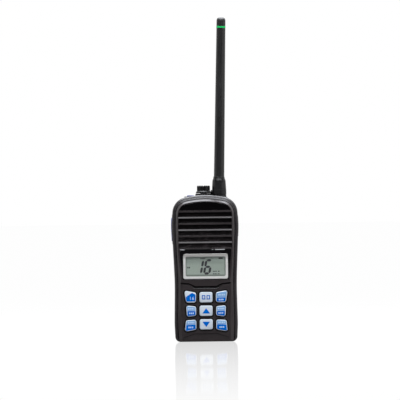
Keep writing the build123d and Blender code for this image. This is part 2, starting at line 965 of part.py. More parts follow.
cloth_y = face_inner_y + cloth_thickness
cloth_top_z = slot_top_z + slot_height / 2 + cloth_margin
with BuildPart() as speaker_cloth:
    with BuildSketch(front(cloth_y)):
        cloth_inset = shell_wall + cloth_room
        add(case_face(shell_gap + cloth_inset, shell_crown + cloth_inset, 0))
        add(box_face(-shoulder_half, shoulder_half, cloth_top_z, crown_apex), mode=Mode.SUBTRACT)
        add(box_face(-shoulder_half, shoulder_half, 0, panel_top_z), mode=Mode.SUBTRACT)
    extrude(amount=cloth_thickness)
speaker_cloth.part.label = "speaker_cloth"
export_step(speaker_cloth.part, "parts/speaker_cloth.step")

speaker_axis = Axis((0, 0, speaker_z), (0, 1, 0))
basket_back_y = cloth_y + speaker_depth


def speaker_solid(points):
    # body turned about the speaker axis, from (y, radius) points
    with BuildPart() as turned:
        with BuildSketch(side(0)):
            with BuildLine():
                Polyline(*[(y, speaker_z + radius) for y, radius in points], close=True)
            make_face()
        revolve(axis=speaker_axis)
    return turned.part


with BuildPart() as speaker_basket:
    add(
        speaker_solid(
            [
                (cloth_y, speaker_radius),
                (basket_back_y, speaker_radius),
                (basket_back_y, magnet_radius),
                (basket_back_y + magnet_depth, magnet_radius),
                (basket_back_y + magnet_depth, 0),
                (basket_back_y - basket_wall, 0),
                (basket_back_y - basket_wall, cone_radius),
                (cloth_y, cone_radius),
            ]
        )
    )
speaker_basket.part.label = "speaker_basket"
export_step(speaker_basket.part, "parts/speaker_basket.step")

with BuildPart() as speaker_cone:
    add(
        speaker_solid(
            [
                (cloth_y + cone_gap, cone_radius - cone_gap),
                (basket_back_y - 2 * basket_wall, magnet_radius),
                (basket_back_y - 2 * basket_wall, 0),
                (cloth_y + cone_gap, 0),
            ]
        )
    )
speaker_cone.part.label = "speaker_cone"
export_step(speaker_cone.part, "parts/speaker_cone.step")

mic_x = shoulder_half - shell_gap - shell_wall - mic_radius - mic_margin
with BuildPart() as microphone:
    with BuildSketch(front(cloth_y + mic_depth)):
        with Locations((mic_x, mic_z)):
            Circle(mic_radius)
    extrude(amount=mic_depth)
microphone.part.label = "microphone"
export_step(microphone.part, "parts/microphone.step")

with BuildPart() as display_panel:
    with BuildSketch(front(face_y + panel_depth)):
        add(panel_face(0))
        add(window_face(frame_half, frame_foot_z, frame_top_z, frame_round), mode=Mode.SUBTRACT)
    extrude(amount=panel_depth + panel_proud)
display_panel.part.label = "display_panel"
export_step(display_panel.part, "parts/display_panel.step")

with BuildPart() as lcd_frame:
    with BuildSketch(front(face_y + panel_depth)):
        add(window_face(frame_half, frame_foot_z, frame_top_z, frame_round))
    extrude(amount=panel_depth + frame_proud)
    chamfer(lcd_frame.faces().sort_by(Axis.Y)[0].edges(), frame_edge)
    with BuildSketch(front(face_y + panel_depth)):
        add(window_face(view_half, view_foot_z, view_top_z, view_round))
    extrude(amount=panel_depth + frame_proud, mode=Mode.SUBTRACT)
lcd_frame.part.label = "lcd_frame"
export_step(lcd_frame.part, "parts/lcd_frame.step")

lens_y = face_y + lens_inset
with BuildPart() as lcd_lens:
    with BuildSketch(front(lens_y + lens_thickness)):
        add(window_face(view_half, view_foot_z, view_top_z, view_round))
    extrude(amount=lens_thickness)
lcd_lens.part.label = "lcd_lens"
export_step(lcd_lens.part, "parts/lcd_lens.step")

lcd_y = lens_y + lens_thickness + lcd_gap
with BuildPart() as lcd_panel:
    with BuildSketch(front(lcd_y + lcd_thickness)):
        add(
            box_face(
                -view_half - lcd_margin,
                view_half + lcd_margin,
                view_foot_z - lcd_margin,
                view_top_z + lcd_margin,
            )
        )
    extrude(amount=lcd_thickness)
lcd_panel.part.label = "lcd_panel"
export_step(lcd_panel.part, "parts/lcd_panel.step")

with BuildPart() as backlight:
    with BuildSketch(front(board_y)):
        add(box_face(-view_half, view_half, view_foot_z, view_top_z))
    extrude(amount=board_y - lcd_y - lcd_thickness)
backlight.part.label = "backlight"
export_step(backlight.part, "parts/backlight.step")

# ---- keypad ----
flange_y = face_inner_y + key_flange_gap
for row in key_rows:
    for column in ("left", "centre", "right"):
        with BuildPart() as key:
            with BuildSketch(front(flange_y + key_flange_thickness)):
                add(key_face(column, row, 0))
            extrude(amount=flange_y + key_flange_thickness - field_y + key_rise)
            chamfer(key.faces().sort_by(Axis.Y)[0].edges(), key_edge)
            with BuildSketch(front(flange_y + key_flange_thickness)):
                add(key_flange_face(column, row))
            extrude(amount=key_flange_thickness)
        key.part.label = f"key_{row}_{column}"
        export_step(key.part, f"parts/key_{row}_{column}.step")

mat_y = flange_y + key_flange_thickness + key_travel + mat_gap
with BuildPart() as keypad_mat:
    with BuildSketch(front(board_y)):
        add(
            box_face(
                -board_half + 0.5,
                board_half - 0.5,
                board_foot_z + 0.5,
                brow_side[1] - stake_foot_width - 1,
            )
        )
    extrude(amount=board_y - mat_y)
keypad_mat.part.label = "keypad_mat"
export_step(keypad_mat.part, "parts/keypad_mat.step")

with BuildPart() as control_board:
    with BuildSketch(front(board_y + board_thickness)):
        add(box_face(-board_half, board_half, board_foot_z, board_top_z))
        with Locations(*stake_spots):
            hole_width = stake_width + 2 * stake_clearance
            Rectangle(hole_width, hole_width, mode=Mode.SUBTRACT)
    extrude(amount=board_thickness)
control_board.part.label = "control_board"
export_step(control_board.part, "parts/control_board.step")

# ---- main board on its cast chassis ----
main_board_back_y = main_board_y + main_board_thickness
post_x = main_board_half - chassis_post / 2
post_spots = [
    (x, z)
    for x in (-post_x, post_x)
    for z in (chassis_foot_z + chassis_post / 2, main_board_top_z - chassis_post / 2)
]
with BuildPart() as main_board:
    with BuildSketch(front(main_board_back_y)):
        add(box_face(-main_board_half, main_board_half, main_board_foot_z, main_board_top_z))
    extrude(amount=main_board_thickness)
main_board.part.label = "main_board"
export_step(main_board.part, "parts/main_board.step")

with BuildPart() as shield_can:
    with BuildSketch(front(main_board_y)):
        add(box_face(-can_half, can_half, can_foot_z, can_top_z))
    extrude(amount=can_height)
    with BuildSketch(front(main_board_y)):
        inner_half = can_half - can_wall
        add(box_face(-inner_half, inner_half, can_foot_z + can_wall, can_top_z - can_wall))
    extrude(amount=can_height - can_wall, mode=Mode.SUBTRACT)
shield_can.part.label = "shield_can"
export_step(shield_can.part, "parts/shield_can.step")

chassis_rib_count = int((main_board_top_z - chassis_foot_z) / chassis_rib_pitch)
with BuildPart() as chassis:
    with BuildSketch(front(cavity_back_y)):
        add(box_face(-main_board_half, main_board_half, chassis_foot_z, main_board_top_z))
    extrude(amount=chassis_plate)
    with BuildSketch(front(cavity_back_y - chassis_plate)):
        with Locations(*post_spots):
            Rectangle(chassis_post, chassis_post)
        with Locations((0, (chassis_foot_z + main_board_top_z) / 2)):
            with GridLocations(0, chassis_rib_pitch, 1, chassis_rib_count):
                Rectangle(2 * post_x - chassis_post - 1, chassis_rib)
    extrude(amount=cavity_back_y - chassis_plate - main_board_back_y)
chassis.part.label = "chassis"
export_step(chassis.part, "parts/chassis.step")

with BuildPart() as case_contacts:
    with BuildSketch(front(back_y)):
        add(
            box_face(
                -contact_block_half,
                contact_block_half,
                contact_z - contact_block_height / 2,
                contact_z + contact_block_height / 2,
            )
        )
    extrude(amount=back_y - main_board_back_y)
    with BuildSketch(front(back_y)):
        with Locations((0, contact_z)):
            with GridLocations(contact_pitch, 0, 3, 1):
                Rectangle(contact_pin, contact_pin)
    extrude(amount=-contact_pin_rise)
case_contacts.part.label = "case_contacts"
export_step(case_contacts.part, "parts/case_contacts.step")

# ---- volume control ----
knob_foot_z = knob_seat_z + collar_height + knob_lift
pot_top_z = roof_z - pot_roof_gap
shaft_foot_z = pot_top_z - pot_height + shaft_tail
with BuildPart() as volume_pot:
    with BuildSketch(Plane.XY.offset(pot_top_z)):
        with Locations((knob_x, control_y)):
            Rectangle(2 * pot_half, 2 * pot_half)
    extrude(amount=-pot_height)
    with BuildSketch(Plane.XY.offset(pot_top_z)):
        with Locations((knob_x, control_y)):
            Circle(pot_bush_radius)
    extrude(amount=knob_seat_z + bush_rise - pot_top_z)
    with BuildSketch(Plane.XY.offset(shaft_foot_z)):
        with Locations((knob_x, control_y)):
            Circle(shaft_radius + running_gap)
    extrude(amount=crown_apex, mode=Mode.SUBTRACT)
volume_pot.part.label = "volume_pot"
export_step(volume_pot.part, "parts/volume_pot.step")

with BuildPart() as knob_collar:
    with BuildSketch(Plane.XZ.offset(-control_y)):
        with BuildLine():
            Polyline(
                (knob_x + pot_bush_radius + jack_hole_gap, knob_seat_z),
                (knob_x + collar_radius, knob_seat_z),
                (knob_x + collar_radius, knob_seat_z + collar_height - collar_edge),
                (knob_x + collar_radius - collar_edge, knob_seat_z + collar_height),
                (knob_x + pot_bush_radius + jack_hole_gap, knob_seat_z + collar_height),
                close=True,
            )
        make_face()
    revolve(axis=Axis((knob_x, control_y, 0), (0, 0, 1)))
knob_collar.part.label = "knob_collar"
export_step(knob_collar.part, "parts/knob_collar.step")

with BuildPart() as volume_shaft:
    with BuildSketch(Plane.XY.offset(shaft_foot_z + shaft_end_gap)):
        with Locations((knob_x, control_y)):
            Circle(shaft_radius)
    extrude(amount=knob_foot_z + shaft_reach - shaft_foot_z - shaft_end_gap)
    with BuildSketch(Plane.XY.offset(knob_foot_z + skirt_height)):
        with Locations((knob_x, control_y + 2 * shaft_radius - shaft_flat)):
            Rectangle(2 * shaft_radius, 2 * shaft_radius)
    extrude(amount=shaft_reach, mode=Mode.SUBTRACT)
volume_shaft.part.label = "volume_shaft"
export_step(volume_shaft.part, "parts/volume_shaft.step")

with BuildPart() as volume_knob:
    with BuildSketch(Plane.XZ.offset(-control_y)):
        with BuildLine():
            Polyline(
                (knob_x, knob_foot_z),
                (knob_x + skirt_radius, knob_foot_z),
                (knob_x + skirt_radius, knob_foot_z + skirt_height),
                (knob_x + knob_neck_radius, knob_foot_z + waist_top),
                (knob_x + knob_radius, knob_foot_z + waist_top + grip_slope),
                (knob_x + knob_radius, knob_foot_z + knob_height - knob_edge),
                (knob_x + knob_radius - knob_brow, knob_foot_z + knob_height - knob_brow),
                (knob_x + knob_radius - knob_edge, knob_foot_z + knob_height),
                (knob_x, knob_foot_z + knob_height),
                close=True,
            )
        make_face()
    revolve(axis=Axis((knob_x, control_y, 0), (0, 0, 1)))
    with BuildSketch(Plane.XY.offset(knob_foot_z + waist_top)):
        with Locations((knob_x, control_y)):
            with PolarLocations(knob_radius + flute_radius - flute_depth, flute_count, flute_turn):
                Circle(flute_radius)
    extrude(amount=knob_height, mode=Mode.SUBTRACT)
    with BuildSketch(Plane.XY.offset(knob_foot_z + knob_height - dish_depth)):
        with Locations((knob_x, control_y)):
            Circle(dish_radius)
    extrude(amount=dish_depth, mode=Mode.SUBTRACT)
    with BuildSketch(Plane.XY.offset(knob_foot_z)):
        with Locations((knob_x, control_y)):
            Circle(shaft_radius)
    extrude(amount=skirt_height, mode=Mode.SUBTRACT)
    with BuildSketch(Plane.XY.offset(knob_foot_z + skirt_height)):
        with Locations((knob_x, control_y)):
            Circle(shaft_radius)
        with Locations((knob_x, control_y + 2 * shaft_radius - shaft_flat)):
            Rectangle(2 * shaft_radius, 2 * shaft_radius, mode=Mode.SUBTRACT)
    extrude(amount=shaft_reach - skirt_height, mode=Mode.SUBTRACT)
volume_knob.part.label = "volume_knob"
export_step(volume_knob.part, "parts/volume_knob.step")

# ---- antenna: everything above the bend stands on the leaning axis ----
boot_foot_z = antenna_seat_z + seal_height
bend_z = boot_foot_z + boot_bend_height
lean_x = (cos(radians(antenna_lean)), 0, -sin(radians(antenna_lean)))
lean_z = (sin(radians(antenna_lean)), 0, cos(radians(antenna_lean)))
antenna_axis = Axis((antenna_x, control_y, 0), (0, 0, 1))
neck_rise = boot_neck_height - boot_bend_height


def leaning_level(rise):
    # plane square to the leaning axis, at a distance above the bend
    origin = tuple(
        base + rise * part
        for base, part in zip((antenna_x, control_y, bend_z), lean_z)
    )
    return Plane(origin=origin, x_dir=lean_x, z_dir=lean_z)


jack_roof_z = roof_z - jack_roof_drop
with BuildPart() as antenna_jack:
    with BuildSketch(Plane.XY.offset(jack_roof_z)):
        with Locations((antenna_x, control_y)):
            Circle(jack_radius)
    extrude(amount=-jack_depth + antenna_seat_z - jack_roof_z)
    with BuildSketch(Plane.XY.offset(jack_roof_z)):
        with Locations((antenna_x, control_y)):
            Circle(jack_tube_radius)
    extrude(amount=antenna_seat_z + jack_tube_rise - jack_roof_z)
    with BuildSketch(Plane.XY.offset(antenna_seat_z - plug_drop - 1)):
        with Locations((antenna_x, control_y)):
            Circle(plug_radius + plug_gap)
    extrude(amount=crown_apex, mode=Mode.SUBTRACT)
antenna_jack.part.label = "antenna_jack"
export_step(antenna_jack.part, "parts/antenna_jack.step")

with BuildPart() as antenna_seal:
    with BuildSketch(Plane.XY.offset(antenna_seat_z)):
        with Locations((antenna_x, control_y)):
            Circle(seal_radius)
            Circle(jack_tube_radius + jack_hole_gap, mode=Mode.SUBTRACT)
    extrude(amount=seal_height)
    chamfer(antenna_seal.faces().sort_by(Axis.Z)[-1].edges().sort_by(SortBy.LENGTH)[-1], seal_edge)
antenna_seal.part.label = "antenna_seal"
export_step(antenna_seal.part, "parts/antenna_seal.step")

with BuildPart() as antenna_plug:
    with BuildSketch(Plane.XY.offset(antenna_seat_z - plug_drop)):
        with Locations((antenna_x, control_y)):
            Circle(plug_radius)
    extrude(amount=plug_drop + seal_height)
    with BuildSketch(Plane.XY.offset(boot_foot_z)):
        with Locations((antenna_x, control_y)):
            Circle(plug_head_radius)
    extrude(amount=plug_rise)
antenna_plug.part.label = "antenna_plug"
export_step(antenna_plug.part, "parts/antenna_plug.step")

seam_z = boot_foot_z + boot_seam_height
with BuildPart() as antenna_boot:
    with BuildSketch(Plane.XZ.offset(-control_y)):
        with BuildLine():
            Polyline(
                (antenna_x, boot_foot_z),
                (antenna_x + boot_radius, boot_foot_z),
                (antenna_x + boot_radius, seam_z - boot_seam_depth),
                (antenna_x + boot_seam_radius - boot_seam_depth, seam_z),
                (antenna_x + boot_seam_radius, seam_z + boot_seam_depth),
                (antenna_x + boot_shoulder_radius, boot_foot_z + boot_shoulder_height),
                (antenna_x + boot_neck_radius, bend_z + neck_rise - boot_neck_drop),
                (antenna_x + boot_neck_radius - boot_edge, bend_z + neck_rise),
                (antenna_x + boot_neck_radius - boot_edge, bend_z + neck_rise + boot_edge),
                (antenna_x, bend_z + neck_rise + boot_edge),
                close=True,
            )
        make_face()
    revolve(axis=antenna_axis)
    with BuildSketch(leaning_level(neck_rise)):
        Circle(2 * boot_radius)
    extrude(amount=boot_radius, mode=Mode.SUBTRACT)
    with BuildSketch(leaning_level(neck_rise - boot_slot_length)):
        with PolarLocations(boot_shoulder_radius, boot_slot_count, boot_slot_turn):
            Rectangle(2 * boot_slot_depth, boot_slot_width)
    extrude(amount=boot_slot_length, mode=Mode.SUBTRACT)
    with BuildSketch(leaning_level(neck_rise - whip_stub)):
        Circle(whip_stub_radius)
    extrude(amount=2 * whip_stub, mode=Mode.SUBTRACT)
    with BuildSketch(Plane.XY.offset(boot_foot_z)):
        with Locations((antenna_x, control_y)):
            Circle(plug_head_radius)
    extrude(amount=plug_rise, mode=Mode.SUBTRACT)
antenna_boot.part.label = "antenna_boot"
export_step(antenna_boot.part, "parts/antenna_boot.step")

core_top_rise = neck_rise + whip_length - core_top_margin
with BuildPart() as antenna_whip:
    with Locations(Location(leaning_level(neck_rise))):
        Cone(
            bottom_radius=whip_foot_radius,
            top_radius=whip_tip_radius,
            height=whip_length,
            align=(Align.CENTER, Align.CENTER, Align.MIN),
        )
    with BuildSketch(leaning_level(neck_rise)):
        Circle(whip_stub_radius)
    extrude(amount=-whip_stub)
    with BuildSketch(leaning_level(neck_rise - whip_stub)):
        Circle(core_radius)
    extrude(amount=core_top_rise - neck_rise + whip_stub, mode=Mode.SUBTRACT)
antenna_whip.part.label = "antenna_whip"
export_step(antenna_whip.part, "parts/antenna_whip.step")

with BuildPart() as antenna_core:
    with BuildSketch(leaning_level(neck_rise - whip_stub)):
        Circle(core_radius)
    extrude(amount=core_top_rise - neck_rise + whip_stub)
antenna_core.part.label = "antenna_core"
export_step(antenna_core.part, "parts/antenna_core.step")

with BuildPart() as antenna_band:
    with BuildSketch(leaning_level(neck_rise + whip_length)):
        Circle(whip_tip_radius + band_proud)
    extrude(amount=band_height)
antenna_band.part.label = "antenna_band"
export_step(antenna_band.part, "parts/antenna_band.step")

tip_foot_rise = neck_rise + whip_length + band_height
tip_base = leaning_level(tip_foot_rise)
tip_profile = [(0, 0), (whip_tip_radius, 0)]
tip_profile += [(whip_tip_radius * share, tip_height * level) for share, level in dome_steps]
tip_profile += [
    (tip_pip_radius, tip_height),
    (tip_pip_radius, tip_height - tip_pip_depth),
    (0, tip_height - tip_pip_depth),
]
with BuildPart() as antenna_tip:
    with BuildSketch(Plane(origin=tip_base.origin, x_dir=lean_x, z_dir=(0, -1, 0))):
        with BuildLine():
            Polyline(*tip_profile, close=True)
        make_face()
    revolve(axis=Axis(tip_base.origin, lean_z))
antenna_tip.part.label = "antenna_tip"
export_step(antenna_tip.part, "parts/antenna_tip.step")

# ---- top button ----
sleeve_reach = abs(button_x) + button_width / 2 + button_gap + sleeve_wall
ceiling_z = roof_z - sleeve_reach**2 / (2 * (apex_radius - case_wall))
button_flange_z = ceiling_z - button_rest_gap - crown_margin
with BuildPart() as button_bezel:
    with BuildSketch(Plane.XY.offset(bezel_seat_z)):
        with Locations((button_x, control_y)):
            RectangleRounded(bezel_width, bezel_length, bezel_round)
    extrude(amount=bezel_thickness)
    chamfer(button_bezel.faces().sort_by(Axis.Z)[-1].edges(), bezel_edge)
    with BuildSketch(Plane.XY.offset(bezel_seat_z)):
        with Locations((button_x, control_y)):
            RectangleRounded(
                button_width + 2 * (button_gap + sleeve_wall),
                button_length + 2 * (button_gap + sleeve_wall),
                button_round + button_gap + sleeve_wall,
            )
    extrude(amount=sleeve_foot_z - bezel_seat_z)
    with BuildSketch(Plane.XY.offset(sleeve_foot_z)):
        with Locations((button_x, control_y)):
            RectangleRounded(
                button_width + 2 * button_gap,
                button_length + 2 * button_gap,
                button_round + button_gap,
            )
    extrude(amount=crown_apex, mode=Mode.SUBTRACT)
button_bezel.part.label = "button_bezel"
export_step(button_bezel.part, "parts/button_bezel.step")

with BuildPart() as top_button:
    with BuildSketch(Plane.XY.offset(button_flange_z)):
        with Locations((button_x, control_y)):
            RectangleRounded(button_width, button_length, button_round)
    extrude(amount=button_top_z - button_flange_z)
    chamfer(top_button.faces().sort_by(Axis.Z)[-1].edges(), button_edge)
    with BuildSketch(Plane.XY.offset(button_flange_z)):
        with Locations((button_x, control_y)):
            flange_margin = 2 * (button_gap + button_flange)
            Rectangle(button_width + flange_margin, button_length + flange_margin)
    extrude(amount=-button_flange_thickness)
top_button.part.label = "top_button"
export_step(top_button.part, "parts/top_button.step")

switch_top_z = button_flange_z - button_flange_thickness - button_travel - top_switch_gap
with BuildPart() as top_switch:
    with BuildSketch(Plane.XY.offset(top_shelf_z + top_shelf_thickness)):
        with Locations((button_x, control_y)):
            Rectangle(top_switch_size, top_switch_size)
    extrude(amount=switch_top_z - switch_stem - top_shelf_z - top_shelf_thickness)
    with BuildSketch(Plane.XY.offset(switch_top_z - switch_stem)):
        with Locations((button_x, control_y)):
            Rectangle(top_switch_size / 2, top_switch_size / 2)
    extrude(amount=switch_stem)
top_switch.part.label = "top_switch"
export_step(top_switch.part, "parts/top_switch.step")


# ---- push-to-talk button: both pieces follow the curve of the case side ----
def side_slab(outer, inner, foot_z, top_z, depth, direction):
    # slice of the case side between two outlines, cut to a height and a depth
    with BuildPart() as slab:
        with BuildSketch(front(control_y + depth / 2)):
            add(outer)
            add(inner, mode=Mode.SUBTRACT)
            limits = sorted((direction * waist_half / 2, direction * case_right))
            add(box_face(limits[0], limits[1], foot_z, top_z), mode=Mode.INTERSECT)
        extrude(amount=depth)
    return slab.part


with BuildPart() as ptt_bezel:
    skin = case_face(-ptt_bezel_proud, 0, 0)
    add(side_slab(skin, cavity_face(), ptt_foot_z, ptt_top_z, ptt_depth, -1))
    with BuildSketch(side(-case_right)):
        with Locations((control_y, ptt_centre_z)):
            RectangleRounded(ptt_depth, ptt_height, ptt_round)
    extrude(amount=case_right, mode=Mode.INTERSECT)
    with BuildSketch(side(-case_right)):
        with Locations((control_y, ptt_centre_z)):
            RectangleRounded(
                ptt_depth - 2 * ptt_bezel_width,
                ptt_height - 2 * ptt_bezel_width,
                ptt_round - ptt_bezel_width + 1.0,
            )
    extrude(amount=case_right, mode=Mode.SUBTRACT)
ptt_bezel.part.label = "ptt_bezel"
export_step(ptt_bezel.part, "parts/ptt_bezel.step")

pad_depth = ptt_depth - 2 * ptt_bezel_width - 2 * ptt_gap
pad_height = ptt_height - 2 * ptt_bezel_width - 2 * ptt_gap
ptt_back = cavity_face(ptt_rest_gap + ptt_flange_thickness)
with BuildPart() as ptt_button:
    skin = case_face(-ptt_proud, 0, 0)
    add(side_slab(skin, ptt_back, ptt_foot_z, ptt_top_z, ptt_depth, -1))
    with BuildSketch(side(-case_right)):
        with Locations((control_y, ptt_centre_z)):
            RectangleRounded(pad_depth, pad_height, ptt_round - ptt_bezel_width + 0.7)
    extrude(amount=case_right, mode=Mode.INTERSECT)
    add(
        side_slab(
            cavity_face(ptt_rest_gap),
            ptt_back,
            ptt_centre_z - pad_height / 2 - ptt_flange,
            ptt_centre_z + pad_height / 2 + ptt_flange,
            pad_depth + 2 * ptt_flange,
            -1,
        )
    )
ptt_button.part.label = "ptt_button"
export_step(ptt_button.part, "parts/ptt_button.step")

with BuildPart() as ptt_switch:
    with BuildSketch(side(web_x)):
        with Locations((control_y, ptt_centre_z)):
            Rectangle(ptt_switch_size, ptt_switch_size)
    extrude(amount=-(ptt_switch_depth - switch_stem))
    with BuildSketch(side(web_x - ptt_switch_depth + switch_stem)):
        with Locations((control_y, ptt_centre_z)):
            Rectangle(ptt_switch_size / 2, ptt_switch_size / 2)
    extrude(amount=-switch_stem)
ptt_switch.part.label = "ptt_switch"
export_step(ptt_switch.part, "parts/ptt_switch.step")

# ---- accessory sockets and their cover ----
with BuildPart() as accessory_jack:
    with BuildSketch(front(control_y + socket_block_depth / 2)):
        add(cavity_face())
        add(
            box_face(
                waist_half - case_wall - socket_block_reach,
                case_right,
                socket_block_foot_z,
                socket_block_top_z,
            ),
            mode=Mode.INTERSECT,
        )
    extrude(amount=socket_block_depth)
    with BuildSketch(side(case_right)):
        with Locations((control_y, large_socket_z)):
            Circle(large_socket_radius)
        with Locations((control_y, small_socket_z)):
            Circle(small_socket_radius)
    extrude(amount=waist_half - case_wall - socket_depth - case_right, mode=Mode.SUBTRACT)
accessory_jack.part.label = "accessory_jack"
export_step(accessory_jack.part, "parts/accessory_jack.step")

cover_inner = cover_thickness - cover_proud - 0.1
with BuildPart() as jack_cover:
    skin = case_face(-cover_proud, 0, 0)
    recess_floor = case_face(cover_inner, 0, 0)
    add(side_slab(skin, recess_floor, cover_foot_z, cover_top_z, cover_depth, 1))
    with BuildSketch(side(case_right)):
        with Locations((control_y, cover_centre_z)):
            RectangleRounded(cover_depth, cover_top_z - cover_foot_z, cover_round)
    extrude(amount=-case_right, mode=Mode.INTERSECT)
    with BuildSketch(side(shoulder_half - case_wall - cover_peg_sink)):
        with Locations((control_y, large_socket_z), (control_y, small_socket_z)):
            Circle(cover_peg_radius)
    extrude(amount=case_wall - cover_inner + cover_peg_root)
jack_cover.part.label = "jack_cover"
export_step(jack_cover.part, "parts/jack_cover.step")


# ---- battery pack ----
def pack_blank(inset, foot_inset):
    # solid of the whole pack, set in by a wall; its roof slopes so that it can swing out
    front_y = back_y + pack_gap + inset
    roof_drop = tan(radians(pack_swing)) * (pack_back_y - hinge_y)
    with BuildPart() as blank:
        with BuildSketch(front(front_y)):
            add(case_face(pack_side_gap + inset, 0, pack_foot_z + foot_inset))
            add(box_face(-case_right, case_right, pack_top_z - inset, crown_apex), mode=Mode.SUBTRACT)
        extrude(amount=front_y - pack_back_y + inset)
        with BuildSketch(side(-case_right)):
            with BuildLine():
                Polyline(
                    (hinge_y + pack_roof_flat, pack_top_z - inset),
                    (pack_back_y + 1, pack_top_z - inset + 1),
                    (pack_back_y + 1, pack_top_z - inset - roof_drop),
                    close=True,
                )
            make_face()
        extrude(amount=2 * case_right, mode=Mode.SUBTRACT)
    return blank.part


with BuildPart() as battery_case:
    add(pack_blank(0, 0))
    front_edges = battery_case.faces().sort_by(Axis.Y)[0].edges()
    fillet(front_edges.sort_by(Axis.Z)[-1], pack_top_round)
    split(bisect_by=front(pack_split_y), keep=Keep.TOP)
    add(pack_blank(pack_wall, pack_wall), mode=Mode.SUBTRACT)
    # hooks at the top, curved about the swing axis
    for centre in (-hook_centre, hook_centre):
        with BuildSketch(side(centre - hook_half)):
            with BuildLine():
                Polyline(
                    (hinge_y, hinge_z),
                    (back_y + pack_gap - hook_reach, hinge_z),
                    (back_y + pack_gap - hook_reach, hinge_z - hook_drop + 0.6),
                    (back_y + pack_gap, hinge_z - hook_drop),
                    (hinge_y, hinge_z - hook_drop),
                    close=True,
                )
            make_face()
        extrude(amount=2 * hook_half)
    # slot for the latch arm and seats of the contacts
    with BuildSketch(front(pack_split_y)):
        add(
            box_face(
                -latch_arm_half - latch_gap,
                latch_arm_half + latch_gap,
                latch_arm_foot_z - latch_gap,
                latch_arm_foot_z + latch_arm_height + latch_travel + latch_gap,
            )
        )
    extrude(amount=pack_split_y - back_y, mode=Mode.SUBTRACT)
    with BuildSketch(front(back_y + pack_gap + contact_inset)):
        with Locations((0, contact_z)):
            with GridLocations(contact_pitch, 0, 3, 1):
                Rectangle(contact_width, contact_height)
    extrude(amount=2 * contact_inset, mode=Mode.SUBTRACT)
battery_case.part.label = "battery_case"
export_step(battery_case.part, "parts/battery_case.step")

pad_y = back_y + pack_gap + contact_inset
with BuildPart() as battery_contacts:
    with BuildSketch(front(pad_y)):
        with Locations((0, contact_z)):
            with GridLocations(contact_pitch, 0, 3, 1):
                Rectangle(contact_width, contact_height)
    extrude(amount=contact_inset / 2)
battery_contacts.part.label = "battery_contacts"
export_step(battery_contacts.part, "parts/battery_contacts.step")

with BuildPart() as battery_cover:
    add(pack_blank(0, 0))
    rear_edges = battery_cover.faces().sort_by(Axis.Y)[-1].edges()
    fillet(rear_edges, pack_round)
    split(bisect_by=front(pack_split_y), keep=Keep.BOTTOM)
    add(pack_blank(pack_wall, pack_wall), mode=Mode.SUBTRACT)
    # window of the latch
    with BuildSketch(front(pack_back_y + 1)):
        add(
            box_face(
                -latch_half - latch_gap,
                latch_half + latch_gap,
                latch_foot_z - latch_gap,
                latch_top_z + latch_travel + latch_gap,
            )
        )
    extrude(amount=pack_wall + 1.6, mode=Mode.SUBTRACT)
battery_cover.part.label = "battery_cover"
export_step(battery_cover.part, "parts/battery_cover.step")

cell_front_y = back_y + pack_gap + pack_wall + cell_clearance
cell_back_y = pack_back_y - pack_wall - cell_clearance
cell_width = waist_half - pack_side_gap - pack_wall - cell_gap / 2 - cell_side_room
with BuildPart() as battery_cells:
    with BuildSketch(Plane.XY.offset(cell_foot_z)):
        with Locations((0, (cell_front_y + cell_back_y) / 2)):
            with GridLocations(cell_width + cell_gap, 0, 2, 1):
                Rectangle(cell_width, cell_back_y - cell_front_y)
    extrude(amount=cell_top_z - cell_foot_z)
battery_cells.part.label = "battery_cells"
export_step(battery_cells.part, "parts/battery_cells.step")

with BuildPart() as battery_latch:
    with BuildSketch(front(pack_back_y)):
        add(box_face(-latch_half, latch_half, latch_foot_z, latch_top_z))
    extrude(amount=latch_thickness)
    with BuildSketch(front(pack_back_y - latch_thickness)):
        add(
            box_face(
                -latch_arm_half,
                latch_arm_half,
                latch_arm_foot_z,
                latch_arm_foot_z + latch_arm_height,
            )
        )
    extrude(amount=pack_back_y - latch_thickness - back_y + latch_tongue)
    with BuildSketch(front(pack_back_y)):
        with Locations((0, (latch_foot_z + latch_top_z) / 2)):
            with GridLocations(0, latch_rib_pitch, 1, latch_rib_count):
                Rectangle(2 * latch_half - 2, latch_rib_width)
    extrude(amount=-latch_rib_proud)
battery_latch.part.label = "battery_latch"
export_step(battery_latch.part, "parts/battery_latch.step")

# ---- belt clip ----
bracket_y = pack_back_y + bracket_thickness
ear_x = bracket_half - ear_thickness / 2
with BuildPart() as clip_bracket:
    with BuildSketch(front(bracket_y)):
        add(box_face(-bracket_half, bracket_half, bracket_foot_z, bracket_top_z))
    extrude(amount=bracket_thickness)
    for centre in (-ear_x, ear_x):
        with BuildSketch(side(centre - ear_thickness / 2)):
            with BuildLine():
                FilletPolyline(
                    (pack_back_y + 0.5, pin_z - ear_height / 2),
                    (pin_y + 2.0, pin_z - 2.0),
                    (pin_y + 2.0, pin_z + 2.0),
                    (pack_back_y + 0.5, pin_z + ear_height / 2),
                    radius=[0, 1.4, 1.4, 0],
                    close=True,
                )
            make_face()
            with Locations((pin_y, pin_z)):
                Circle(pin_radius, mode=Mode.SUBTRACT)
        extrude(amount=ear_thickness)
    with BuildSketch(front(bracket_y)):
        with Locations(*clip_screw_spots):
            Circle(clip_screw_radius + 0.1)
    extrude(amount=bracket_thickness, mode=Mode.SUBTRACT)
clip_bracket.part.label = "clip_bracket"
export_step(clip_bracket.part, "parts/clip_bracket.step")

with BuildPart() as clip_screws:
    with BuildSketch(front(bracket_y + clip_screw_head_depth)):
        with Locations(*clip_screw_spots):
            Circle(clip_screw_head_radius)
    extrude(amount=clip_screw_head_depth)
    with BuildSketch(front(bracket_y)):
        with Locations(*clip_screw_spots):
            Circle(clip_screw_radius)
    extrude(amount=bracket_thickness)
clip_screws.part.label = "clip_screws"
export_step(clip_screws.part, "parts/clip_screws.step")

